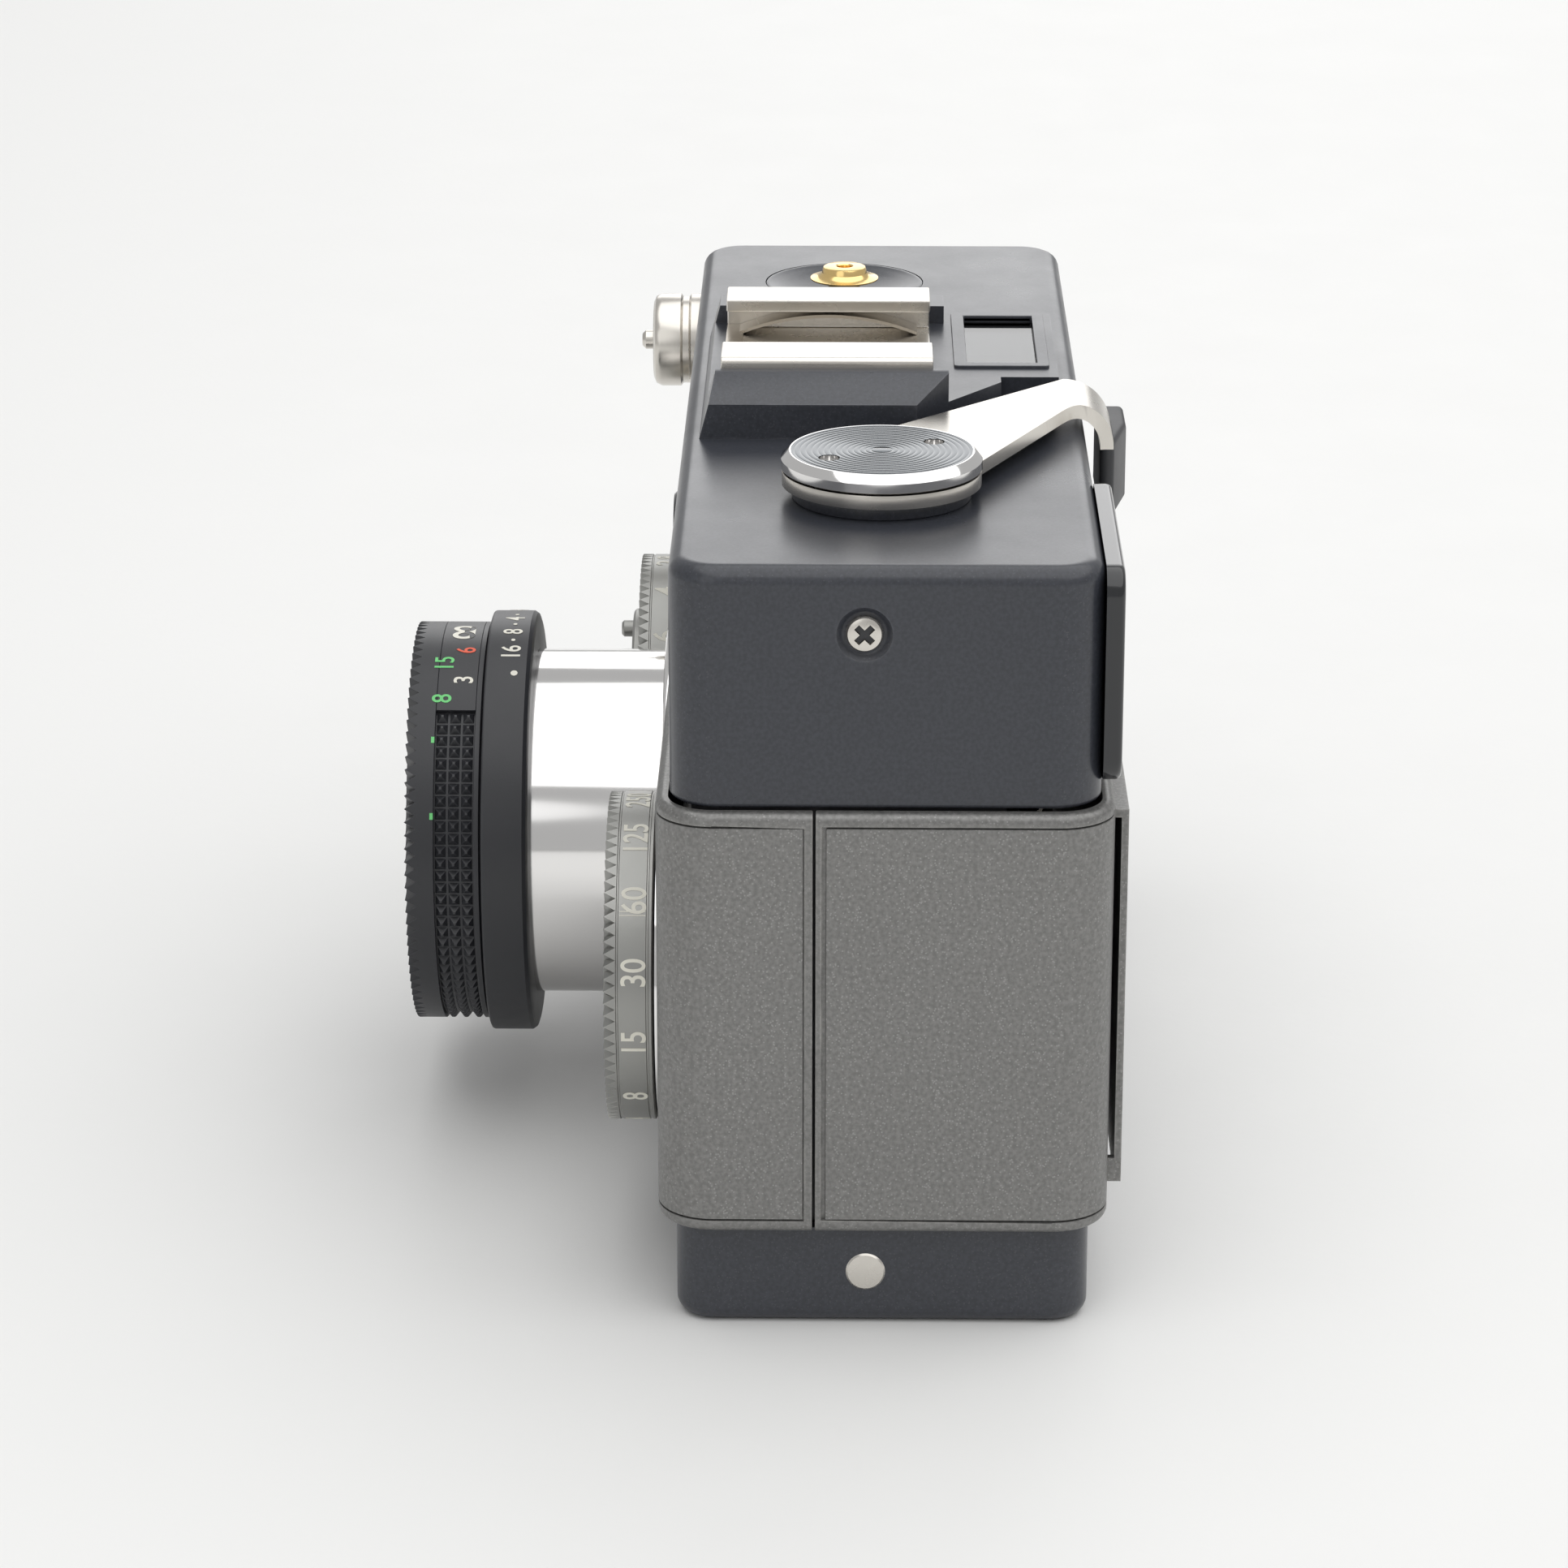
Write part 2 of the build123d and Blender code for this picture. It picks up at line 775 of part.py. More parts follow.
def make_finder_tunnel():
    """Light-tight tunnel between the two ends of the viewfinder."""
    front = top_front + top_wall
    rear = top_rear - top_wall
    outer = block(finder_mid_x - finder_width / 2, finder_mid_x + finder_width / 2, front, rear,
                  finder_mid_z - finder_height / 2, finder_mid_z + finder_height / 2)
    foot = block(finder_mid_x - 3, finder_mid_x + 3, rear - finder_foot, rear,
                 top_low, finder_mid_z - finder_height / 2)
    return outer + foot - finder_well(0, front - 1, rear + 1)


def make_finder_front():
    """Front glass of the viewfinder."""
    return finder_well(snug, top_front + 0.15, top_front + 0.15 + finder_glass)


def make_eyepiece_glass():
    """Rear glass of the viewfinder."""
    return finder_well(snug, top_rear - 0.3, top_rear - 0.3 + eyepiece_glass)


def make_light_cell():
    """Window ring and lens of the light meter on the front."""
    ring = disc_y(cell_x, cell_z, cell_radius, top_front - cell_reach, top_front)
    ring = chamfer(ring.faces().sort_by(Axis.Y)[0].edges(), cell_chamfer)
    plug = disc_y(cell_x, cell_z, cell_radius - cell_lip - snug, top_front - hairline, top_front + cell_spigot)
    glass_front = top_front - cell_glass_sunk
    return ring + plug - disc_y(cell_x, cell_z, cell_radius - cell_glass_margin, top_front - 1, glass_front)


def make_sync_terminal():
    """Metal flash terminal with its centre pin."""
    front = top_front - terminal_reach
    shell = disc_y(terminal_x, terminal_z, terminal_radius, front, top_front)
    shell = fillet(shell.faces().sort_by(Axis.Y)[0].edges(), 0.9)
    shell += disc_y(terminal_x, terminal_z, terminal_bore - snug, top_front - 0.1, top_front + 3)
    shell -= disc_y(terminal_x, terminal_z, terminal_bore - 0.6, front - 1, front + 2)
    return shell + disc_y(terminal_x, terminal_z, terminal_pin, top_front - terminal_pin_reach, front + 3)


def make_release_dish():
    """Shallow dish round the release button."""
    dish = disc_z(release_x, release_y, dish_radius, dish_low, dish_high)
    dish = chamfer(dish.faces().sort_by(Axis.Z)[-1].edges(), 0.25)
    dish -= Pos(release_x, release_y, dish_high - dish_bowl_depth + bowl_sphere) * Sphere(bowl_sphere)
    return dish - disc_z(release_x, release_y, button_stem + running, dish_low - 1, dish_high + 1)


def make_release_button():
    """Gold-coloured release button on its stem, bored for a cable."""
    foot = dish_high + button_travel - dish_bowl_depth + bowl_rise + running
    profile = [(0, foot), (button_flare, foot), (button_flare, foot + button_edge),
               (button_radius, button_neck), (button_radius, button_high - button_edge),
               (button_radius - button_edge, button_high), (0, button_high)]
    outline = make_face(Polyline(*[(r, 0, z) for r, z in profile], close=True))
    cap = Pos(release_x, release_y, 0) * revolve(outline, Axis.Z)
    taper = [(0, button_high), (cable_socket, button_high), (cable_tip, button_high - cable_depth),
             (0, button_high - cable_depth)]
    bore = make_face(Polyline(*[(r, 0, z) for r, z in taper], close=True))
    stem = disc_z(release_x, release_y, button_stem, button_stem_low, foot)
    collar_low = dish_low - button_collar_drop
    collar = disc_z(release_x, release_y, button_collar, collar_low, collar_low + button_collar_thick)
    return cap + stem + collar - Pos(release_x, release_y, 0) * revolve(bore, Axis.Z)


def make_release_spring():
    """Return spring round the stem, between its bracket and its collar."""
    high = dish_low - button_collar_drop
    low = release_spring_low
    pitch = (high - low - release_spring_wire) / release_spring_turns
    path = Helix(pitch, pitch * release_spring_turns, release_spring_radius)
    wire = sweep(Plane(origin=path @ 0, z_dir=path % 0) * Circle(release_spring_wire / 2), path)
    return Pos(release_x, release_y, low + release_spring_wire / 2) * wire


def make_release_bracket():
    """Angle bracket that guides the stem and carries its spring."""
    left, right = release_x - bracket_half, release_x + bracket_half
    front, rear = release_y - bracket_half, release_y + bracket_half
    low = release_spring_low - bracket_thick
    plate = block(left, right, front, rear, low, release_spring_low)
    plate -= disc_z(release_x, release_y, button_stem + running, low - 1, release_spring_low + 1)
    return plate + block(left, right, front, front + bracket_thick, cassette_top + tower_wall, low)


def make_lever_collar():
    """Black washer under the advance lever."""
    washer = disc_z(lever_x, lever_y, lever_collar, body_height, lever_low - hairline)
    return washer - disc_z(lever_x, lever_y, lever_shaft_radius + running, body_height - 1, lever_low)


def lever_leg(grow):
    """Part of the lever that turns down behind the body."""
    right = lever_leg_near[0]
    return block(lever_far_edge[0] - grow, right + grow, lever_leg_y - grow,
                 lever_leg_y + lever_thick + grow, lever_drop - grow, lever_low - lever_bend + grow)


def make_advance_lever():
    """Bright pressed lever: a round plate, an arm and a leg behind the body."""
    high = lever_low + lever_thick
    plate = disc_z(lever_x, lever_y, lever_radius, lever_low, high)
    outline = [lever_far_root, lever_near_root, lever_near_edge, lever_far_edge]
    arm = prism(outline, lever_low, high)
    outer = lever_bend + lever_thick
    centre_y = lever_leg_y - lever_bend
    centre_z = lever_low - lever_bend
    left, right = lever_far_edge[0], lever_near_edge[0]
    bend = disc_x(centre_y, centre_z, outer, left, right)
    bend -= disc_x(centre_y, centre_z, lever_bend, left - 1, right + 1)
    bend &= block(left, right, centre_y, centre_y + outer, centre_z, centre_z + outer)
    limits = [lever_far_edge, lever_near_edge, lever_leg_near, (lever_leg_near[0], centre_y + outer + 1),
              (left, centre_y + outer + 1)]
    bend &= prism(limits, lever_drop, high)
    lever = plate + arm + bend + lever_leg(0)
    return lever - disc_z(lever_x, lever_y, lever_shaft_radius + snug, lever_low - 1, high + 1)


def make_lever_pad():
    """Dark plastic thumb pad moulded round the leg of the lever."""
    outer = lever_leg_y + lever_thick
    plan = [(pad_left, lever_leg_y), (pad_right, lever_leg_y), (pad_right, outer), (pad_wedge, pad_back),
            (pad_left, pad_back)]
    pad = prism(plan, pad_low, pad_high)
    pad = fillet(pad.edges().filter_by(Axis.Z).group_by(Axis.Y)[-1], pad_edge)
    return pad - lever_leg(snug) - block(pad_left - 1, pad_right + 1, lever_leg_y - 1,
                                         lever_leg_y + lever_thick + snug, lever_drop, pad_high + 1)


def make_lever_cap():
    """Polished cap over the lever, with two small spanner bores."""
    cap = disc_z(lever_x, lever_y, cap_radius, cap_low, cap_high)
    cap = chamfer(cap.faces().sort_by(Axis.Z)[-1].edges(), cap_bevel)
    for side in (-1, 1):
        angle = math.radians(30)
        x = lever_x - side * cap_bore_spacing * math.sin(angle)
        y = lever_y + side * cap_bore_spacing * math.cos(angle)
        cap -= disc_z(x, y, cap_bore_radius, cap_high - 0.5, cap_high + 1)
    return cap


def make_lever_shaft():
    """Shaft of the lever with the large gear of the film transport."""
    shaft = disc_z(lever_x, lever_y, lever_shaft_radius, gear_low, cap_low)
    return shaft + gear(lever_axis, wind_teeth, wind_module, 0, gear_low, gear_thick)


def make_sprocket():
    """Toothed film sprocket with its gear above and the counter's finger below."""
    low = film_low + sprocket_inset
    high = film_high - sprocket_inset
    hub = Pos(sprocket_x, sprocket_y, 0)
    wheel = disc_z(sprocket_x, sprocket_y, sprocket_core, low, high)
    for edge in (low, high - sprocket_band):
        wheel += disc_z(sprocket_x, sprocket_y, sprocket_radius, edge, edge + sprocket_band)
        middle = edge + sprocket_band / 2
        for index in range(sprocket_teeth):
            tooth = block(sprocket_radius - sprocket_tooth, sprocket_radius + sprocket_tooth_reach,
                          -sprocket_tooth / 2, sprocket_tooth / 2,
                          middle - sprocket_tooth / 2, middle + sprocket_tooth / 2)
            wheel += hub * Rot(0, 0, index * 360 / sprocket_teeth) * tooth
    wheel += disc_z(sprocket_x, sprocket_y, sprocket_shaft, counter_low, wheel_low + wheel_thick)
    finger = disc_z(sprocket_x, sprocket_y, finger_radius, counter_low, counter_low + counter_thick)
    turn = meshing_turn(spool_axis, spool_wheel_teeth, 0, sprocket_axis, sprocket_gear_teeth)
    wheel += gear(sprocket_axis, sprocket_gear_teeth, wheel_module, turn, wheel_low, wheel_thick)
    return wheel + finger


def make_takeup_spool():
    """Film take-up spool with its gear."""
    low = film_low + sprocket_inset
    high = film_high - sprocket_inset
    spool = disc_z(spool_x, spool_y, spool_core, low, high)
    spool += disc_z(spool_x, spool_y, spool_flange, low, low + spool_flange_thick)
    spool += disc_z(spool_x, spool_y, spool_flange, high - spool_flange_thick, high)
    spool -= block(spool_x - spool_core - 1, spool_x + spool_core + 1,
                   spool_y - spool_slot / 2, spool_y + spool_slot / 2,
                   axis_z - film_aperture[1] / 2, axis_z + film_aperture[1] / 2)
    spool += disc_z(spool_x, spool_y, spool_shaft, casting_low + hairline, gear_low + gear_thick)
    turn = meshing_turn(lever_axis, wind_teeth, 0, spool_axis, spool_gear_teeth)
    spool += gear(spool_axis, spool_gear_teeth, wind_module, turn, gear_low, gear_thick)
    return spool + gear(spool_axis, spool_wheel_teeth, wheel_module, 0, wheel_low, wheel_thick)


def make_counter_dial():
    """Frame counter dial behind its window in the base."""
    dial = disc_z(counter_x, counter_y, counter_radius, counter_low, counter_low + counter_thick)
    return dial - disc_z(counter_x, counter_y, 0.8 + running, counter_low - 1, counter_low + 1)


def make_counter_window():
    """Clear window over the frame counter."""
    y = counter_y - counter_window_offset
    return disc_z(counter_x, y, counter_window_radius - snug, 0.15, base_floor)


def casting_body():
    """Outer form of the casting, with the tower over the cassette."""
    body = block(-casting_side, casting_side, casting_front, casting_rear, casting_low, top_low)
    body = fillet(body.edges().filter_by(Axis.Z).group_by(Axis.Y)[0], casting_corner)
    tower = disc_z(cassette_x, cassette_y, cassette_room + tower_wall, top_low - 1, cassette_top + tower_wall)
    inside = block(-casting_side, casting_side, casting_front, top_rear - top_wall - 0.1, top_low,
                   cassette_top + tower_wall)
    return body + (tower & inside)


def make_casting():
    """Whole cast frame with the lens well, the film gate and both film chambers."""
    casting = casting_body()
    well = barrel_radius + running + tube_wall
    gate_front = casting_rear - gate_thick
    casting -= lens_clear(well, casting_front - 1, well_rear)
    casting -= block(-light_box[0] / 2, light_box[0] / 2, light_box_front, gate_front + 1,
                     axis_z - light_box[1] / 2, axis_z + light_box[1] / 2)
    casting -= block(-film_aperture[0] / 2, film_aperture[0] / 2, gate_front, casting_rear + 1,
                     axis_z - film_aperture[1] / 2, axis_z + film_aperture[1] / 2)
    floor = casting_low + casting_floor
    casting -= disc_z(cassette_x, cassette_y, cassette_room, floor, cassette_top)
    casting -= block(cassette_x - cassette_room, cassette_x + cassette_room, cassette_y, casting_rear + 1,
                     floor, top_low)
    casting -= block(takeup_left, takeup_right, takeup_front, casting_rear + 1, floor, top_low - casting_deck)
    casting -= dial_clear(dial_pocket, casting_front - 1, dial_pocket_rear)
    casting -= disc_z(0, 0, bush_radius + snug, casting_low - 1, bush_high)
    bores = [(cassette_x, cassette_y, rewind_shaft_radius), (sprocket_x, sprocket_y, sprocket_shaft),
             (spool_x, spool_y, spool_shaft)]
    for x, y, radius in bores:
        casting -= disc_z(x, y, radius + running, casting_low - 1, floor + 1)
    for x, y, radius in bores[1:]:
        casting -= disc_z(x, y, radius + running, top_low - casting_deck - 1, top_low + 1)
    casting += counter_post()
    for side in (-1, 1):
        middle = axis_z + side * (film_aperture[1] / 2 + rail_margin + rail_width / 2)
        casting += block(-light_box[0] / 2 - 1, light_box[0] / 2 + 1, casting_rear, film_y,
                         middle - rail_width / 2, middle + rail_width / 2)
        lug_inner = side * (plate_foot_half + slip)
        lug_outer = side * takeup_left
        lug_half = plate_pin + plate_lug_wall
        casting += block(min(lug_inner, lug_outer), max(lug_inner, lug_outer), casting_rear,
                         plate_pin_y + lug_half, plate_pin_z - lug_half, plate_pin_z + lug_half)
    return casting - plate_pins(running)


def make_main_casting():
    """Front block of the cast frame, with the lens well."""
    return whole_casting & block(-chamber_split, chamber_split, -half_depth, well_rear, 0, body_height)


def make_film_chambers():
    """Film side of the cast frame: the gate block between the cassette's and the take-up spool's chambers."""
    start = chamber_split + snug
    gate_block = block(-chamber_split, chamber_split, well_rear + snug, half_depth, 0, body_height)
    cassette_end = block(-half_length, -start, -half_depth, half_depth, 0, body_height)
    takeup_end = block(start, half_length, -half_depth, half_depth, 0, body_height)
    return (whole_casting & cassette_end) + (whole_casting & gate_block) + (whole_casting & takeup_end)


def counter_post():
    """Post under the casting that the frame counter turns on."""
    return disc_z(counter_x, counter_y, 0.8, counter_low - 0.4, casting_low)


def plate_pins(grow):
    """Hinge pin through the foot of the pressure plate."""
    reach = takeup_left - slip
    return disc_x(plate_pin_y, plate_pin_z, plate_pin + grow, -reach, reach)


def make_pressure_plate():
    """Plate that holds the film flat on the rails, hinged at its foot."""
    front = film_y + plate_gap
    plate = block(-plate_half, plate_half, front, front + plate_thick, plate_low, plate_high)
    plate = fillet(plate.edges().filter_by(Axis.Y), 1.2)
    plate += block(-plate_foot_half, plate_foot_half, front, front + plate_thick, plate_pin_z, plate_low + 2)
    return plate + plate_pins(0)


def make_pressure_spring():
    """Bowed leaf spring between the pressure plate and the back cover."""
    seat = film_y + plate_gap + plate_thick
    crown = seat + press_spring_rise
    inner = press_spring_half - 2 * press_spring_leaf
    outside = ThreePointArc((-press_spring_half, seat, 0), (0, crown, 0), (press_spring_half, seat, 0))
    inside = ThreePointArc((-inner, seat, 0), (0, crown - press_spring_leaf, 0), (inner, seat, 0))
    ends = [Line(outside @ 0, inside @ 0), Line(outside @ 1, inside @ 1)]
    bow = extrude(make_face([outside, inside] + ends), amount=press_spring_width, dir=(0, 0, 1))
    return Pos(0, 0, axis_z - press_spring_width / 2) * bow


def make_bottom_cover():
    """Black tray under the body, with the recesses of the crank and the latch."""
    tray = slab(base_length, base_depth, base_corner, 0, base_high)
    tray = fillet(tray.faces().sort_by(Axis.Z)[0].edges(), base_edge)
    tray -= slab(base_length - 2 * base_wall, base_depth - 2 * base_wall, base_corner - base_wall,
                 base_floor, base_high + 1)
    tray += disc_z(cassette_x, cassette_y, recess_radius + recess_wall, base_floor / 2,
                   recess_ceiling + recess_wall)
    tray -= disc_z(cassette_x, cassette_y, recess_radius, -1, recess_ceiling)
    tray -= disc_z(cassette_x, cassette_y, rewind_shaft_radius + running, 0, recess_ceiling + 2)
    latch_ceiling = latch_low + latch_thick + slip
    tray += disc_z(latch_x, latch_y, latch_radius + slip + recess_wall, base_floor / 2,
                   latch_arm_low - slip)
    tray -= disc_z(latch_x, latch_y, latch_radius + slip, -1, latch_ceiling)
    tray -= disc_z(latch_x, latch_y, latch_shaft + running, 0, latch_ceiling + 2)
    tray -= disc_z(0, 0, bush_radius + snug, -1, base_floor + 1)
    window_y = counter_y - counter_window_offset
    return tray - disc_z(counter_x, window_y, counter_window_radius, -1, base_floor + 1)


def make_tripod_bush():
    """Threaded bush of the tripod socket, shown with a plain bore."""
    bush = disc_z(0, 0, bush_radius, 0, bush_high)
    return bush - disc_z(0, 0, socket_radius, -1, socket_depth)


def make_latch():
    """Turning latch of the back cover, with its arm inside the base."""
    high = latch_low + latch_thick
    arm_high = latch_arm_low + latch_arm_thick
    disc = disc_z(latch_x, latch_y, latch_radius, latch_low + latch_thick / 2, high)
    grip = block(-latch_radius, latch_radius, -latch_grip / 2, latch_grip / 2, latch_low, high)
    disc += Pos(latch_x, latch_y, 0) * (grip & disc_z(0, 0, latch_radius - slip, latch_low, high))
    disc += disc_z(latch_x, latch_y, latch_shaft, high, arm_high)
    return disc + block(latch_x, latch_x + latch_arm, latch_y - latch_arm_width / 2,
                        latch_y + latch_arm_width / 2, latch_arm_low, arm_high)


def make_rewind_shaft():
    """Rewind hub and shaft with the fork that turns the cassette."""
    hub_high = recess_ceiling - hairline
    fork_low = casting_low + casting_floor + slip
    hub = disc_z(cassette_x, cassette_y, hub_radius, hub_low, hub_high)
    hub += disc_z(cassette_x, cassette_y, rewind_shaft_radius, hub_high, fork_low)
    hub += block(cassette_x - fork_width / 2, cassette_x + fork_width / 2, cassette_y - fork_thick / 2,
                 cassette_y + fork_thick / 2, fork_low, fork_high)
    slot = crank_width / 2 + hairline
    heel = crank_thick / 2 + slip
    return hub - block(cassette_x - 2 * heel, cassette_x + hub_radius + 1, cassette_y - slot,
                       cassette_y + slot, hub_low - 1, crank_axis_z + heel)


def make_rewind_crank():
    """Folding crank with its knob, lying flat in the recess."""
    low = crank_axis_z - crank_thick / 2
    front = cassette_y - crank_width / 2
    rear = cassette_y + crank_width / 2
    arm = block(cassette_x, cassette_x + crank_reach, front, rear, low, low + crank_thick)
    eye = disc_y(cassette_x, crank_axis_z, crank_thick / 2, front, rear)
    knob = disc_z(cassette_x + crank_reach, cassette_y, knob_radius, knob_low, knob_high)
    return arm + eye + knob


def make_lens_flange():
    """Bright ring where the lens barrel leaves the body."""
    bore = barrel_radius + slip / 2
    ring = ring_y(0, axis_z, flange_radius, bore, -half_depth - flange_thick, -half_depth)
    ring = chamfer(ring.faces().sort_by(Axis.Y)[0].edges().sort_by(SortBy.LENGTH)[-1:], 0.3)
    return ring + ring_y(0, axis_z, flange_spigot - snug, bore, -half_depth, -half_depth + grey_wall)


def make_guide_tube():
    """Fixed tube that the barrel slides in."""
    bore = barrel_radius + running
    return ring_y(0, axis_z, bore + tube_wall - snug, bore, casting_front, tube_rear)


def make_key_ring():
    """Ring that slides in the guide tube and keeps the barrel straight."""
    front = barrel_rear + running
    return ring_y(0, axis_z, barrel_radius, key_ring_bore, front, barrel_rear + key_ring_thick)


def make_barrel():
    """Chromed barrel that is pulled out to take pictures."""
    return ring_y(0, axis_z, barrel_radius, barrel_radius - barrel_wall, depth_ring_front, barrel_rear)


def make_depth_ring():
    """Fixed ring of the lens head with the depth of field scale."""
    ring = ring_y(0, axis_z, depth_ring_radius, barrel_radius + snug, depth_ring_front, head_rear)
    rims = ring.edges().filter_by(GeomType.CIRCLE).sort_by(SortBy.LENGTH)[-2:]
    return fillet(rims, 0.35)


def make_shutter_housing():
    """Housing of the shutter and the lens cells, inside the lens head."""
    inner = barrel_radius - barrel_wall - snug
    housing = disc_y(0, axis_z, inner, depth_ring_front + 0.2, shutter_rear)
    housing += disc_y(0, axis_z, focus_ring_bore - running, nose_front, depth_ring_front - running)
    housing += disc_y(0, axis_z, inner - 0.5, depth_ring_front - 0.3, depth_ring_front + 0.5)
    housing -= lens_clear(nose_bore + running, nose_front - 1, blade_room_front - 1)
    housing -= lens_clear(shutter_bore, nose_front, shutter_rear + 1)
    housing -= lens_clear(blade_room_radius, blade_room_front, blade_room_rear)
    housing -= lens_clear(rear_glass_radius + snug, shutter_rear - rear_glass_thick, shutter_rear + 1)
    for side in (-1, 1):
        housing += disc_y(0, axis_z + side * blade_pivot, blade_pin, blade_room_front - hairline,
                          blade_room_rear + hairline)
    return housing


def make_blade(side):
    """One of two shutter blades, which covers its half of the opening."""
    front = blade_room_front + slip if side < 0 else blade_room_rear - slip - blade_thick
    rear = front + blade_thick
    blade = disc_y(0, axis_z, blade_radius, front, rear)
    keep = block(-blade_radius, blade_overlap, front, rear, axis_z - blade_radius, axis_z + blade_radius)
    if side > 0:
        keep = block(-blade_overlap, blade_radius, front, rear, axis_z - blade_radius, axis_z + blade_radius)
    blade &= keep
    pivot_z = axis_z + side * blade_pivot
    blade += disc_y(0, pivot_z, 1.3, front, rear)
    reach = (min(side * 0.5, side * blade_pivot), max(side * 0.5, side * blade_pivot))
    left = -1.3 if side < 0 else -blade_overlap
    blade += block(left, left + 1.3 + blade_overlap, front, rear, axis_z + reach[0], axis_z + reach[1])
    return blade - disc_y(0, pivot_z, blade_pin + running, front - 1, rear + 1)


def lens_glass(radius, front, thickness, bulge):
    """Glass disc with a curved front face."""
    sag = bulge - math.sqrt(bulge ** 2 - radius ** 2)
    half_sag = bulge - math.sqrt(bulge ** 2 - (radius / 2) ** 2)
    face = ThreePointArc((0, front, 0), (radius / 2, front + half_sag, 0), (radius, front + sag, 0))
    side = Polyline(face @ 1, (radius, front + thickness, 0), (0, front + thickness, 0), face @ 0)
    return Pos(0, 0, axis_z) * revolve(make_face([face] + side.edges()), Axis.Y)


def make_front_glass():
    """Front element of the lens."""
    return lens_glass(front_glass_radius - snug, bezel_front + 0.5, front_glass_thick, front_glass_bulge)


def make_rear_glass():
    """Rear element of the lens."""
    rear = shutter_rear
    return lens_clear(rear_glass_radius, rear - rear_glass_thick, rear - hairline)


def make_front_bezel():
    """Front cell of the lens, which creeps forward as the lens is focused."""
    cell = disc_y(0, axis_z, nose_bore, nose_front - hairline, nose_front + bezel_reach)
    cell += disc_y(0, axis_z, bezel_radius, bezel_front, nose_front - hairline)
    cell -= lens_clear(front_glass_radius, bezel_front - 1, bezel_front + bezel_reach)
    cell -= lens_clear(front_glass_radius - 1, bezel_front, nose_front + bezel_reach + 1)
    funnel = Cone(front_glass_radius, bezel_radius - bezel_lip, bezel_funnel)
    return cell - Pos(0, bezel_front + bezel_funnel / 2, axis_z) * Rot(90, 0, 0) * funnel


def make_focus_ring():
    """Focusing ring with a serrated front edge."""
    front = focus_ring_front + focus_tooth_length
    rear = depth_ring_front - hairline
    ring = disc_y(0, axis_z, focus_ring_radius, front, rear)
    ring += serrated_disc(0, axis_z, focus_ring_radius, focus_tooth_depth, focus_teeth,
                          focus_ring_front, front)
    return ring - lens_clear(focus_ring_bore, focus_ring_front - 1, rear + 1)


def make_dial(side):
    """Front dial with a serrated front edge, on its own shaft."""
    x = side * dial_x
    front = dial_front + dial_tooth_length
    dial = disc_y(x, dial_z, dial_radius, front, dial_rear)
    dial += serrated_disc(x, dial_z, dial_radius, dial_tooth_depth, dial_teeth, dial_front, front)
    return dial + disc_y(x, dial_z, dial_shaft, dial_rear, dial_shaft_rear)


def make_dial_seat(side):
    """Thin ring on the front of the body under one dial."""
    return ring_y(side * dial_x, dial_z, seat_radius, dial_shaft + slip, dial_rear + hairline, -half_depth)


def make_film_speed_disc():
    """Film speed disc with its tab, on the face of the aperture dial."""
    disc = disc_y(-dial_x, dial_z, speed_disc_radius, dial_front - speed_disc_thick, dial_front - running)
    tab = disc_y(-dial_x, dial_z + speed_tab_height - speed_tab_radius, speed_tab_radius,
                 dial_front - speed_disc_thick - speed_tab_reach, dial_front - speed_disc_thick)
    return disc + tab


whole_casting = make_casting()

pieces = {
    "top_plate": make_top_plate(),
    "top_plate_screws": make_screws(),
    "shoe_deck": make_shoe_deck(),
    "accessory_shoe": make_shoe(),
    "shoe_spring": make_shoe_spring(),
    "meter_window": make_meter_window(),
    "meter_scale": make_meter_scale(),
    "meter_movement": make_meter_movement(),
    "meter_needle": make_meter_needle(),
    "eyepiece_frame": make_eyepiece_frame(),
    "eyepiece_glass": make_eyepiece_glass(),
    "finder_tunnel": make_finder_tunnel(),
    "finder_front_glass": make_finder_front(),
    "light_cell": make_light_cell(),
    "sync_terminal": make_sync_terminal(),
    "release_dish": make_release_dish(),
    "release_button": make_release_button(),
    "release_spring": make_release_spring(),
    "release_bracket": make_release_bracket(),
    "lever_collar": make_lever_collar(),
    "advance_lever": make_advance_lever(),
    "lever_thumb_pad": make_lever_pad(),
    "lever_cap": make_lever_cap(),
    "lever_shaft": make_lever_shaft(),
    "front_shell": make_front_shell(),
    "front_panel": make_front_panel(),
    "back_cover": make_back_cover(),
    "back_panel": make_back_panel(),
    "memo_holder": make_memo_holder(),
    "pressure_spring": make_pressure_spring(),
    "pressure_plate": make_pressure_plate(),
    "main_casting": make_main_casting(),
    "film_chambers": make_film_chambers(),
    "film_sprocket": make_sprocket(),
    "takeup_spool": make_takeup_spool(),
    "bottom_cover": make_bottom_cover(),
    "base_studs": make_studs(),
    "tripod_bush": make_tripod_bush(),
    "counter_dial": make_counter_dial(),
    "counter_window": make_counter_window(),
    "back_latch": make_latch(),
    "rewind_shaft": make_rewind_shaft(),
    "rewind_crank": make_rewind_crank(),
    "lens_flange": make_lens_flange(),
    "guide_tube": make_guide_tube(),
    "barrel_key_ring": make_key_ring(),
    "lens_barrel": make_barrel(),
    "depth_ring": make_depth_ring(),
    "shutter_housing": make_shutter_housing(),
    "shutter_blade_low": make_blade(-1),
    "shutter_blade_high": make_blade(1),
    "front_element": make_front_glass(),
    "rear_element": make_rear_glass(),
    "front_bezel": make_front_bezel(),
    "focus_ring": make_focus_ring(),
    "speed_dial": make_dial(1),
    "speed_dial_seat": make_dial_seat(1),
    "aperture_dial": make_dial(-1),
    "aperture_dial_seat": make_dial_seat(-1),
    "film_speed_disc": make_film_speed_disc(),
}

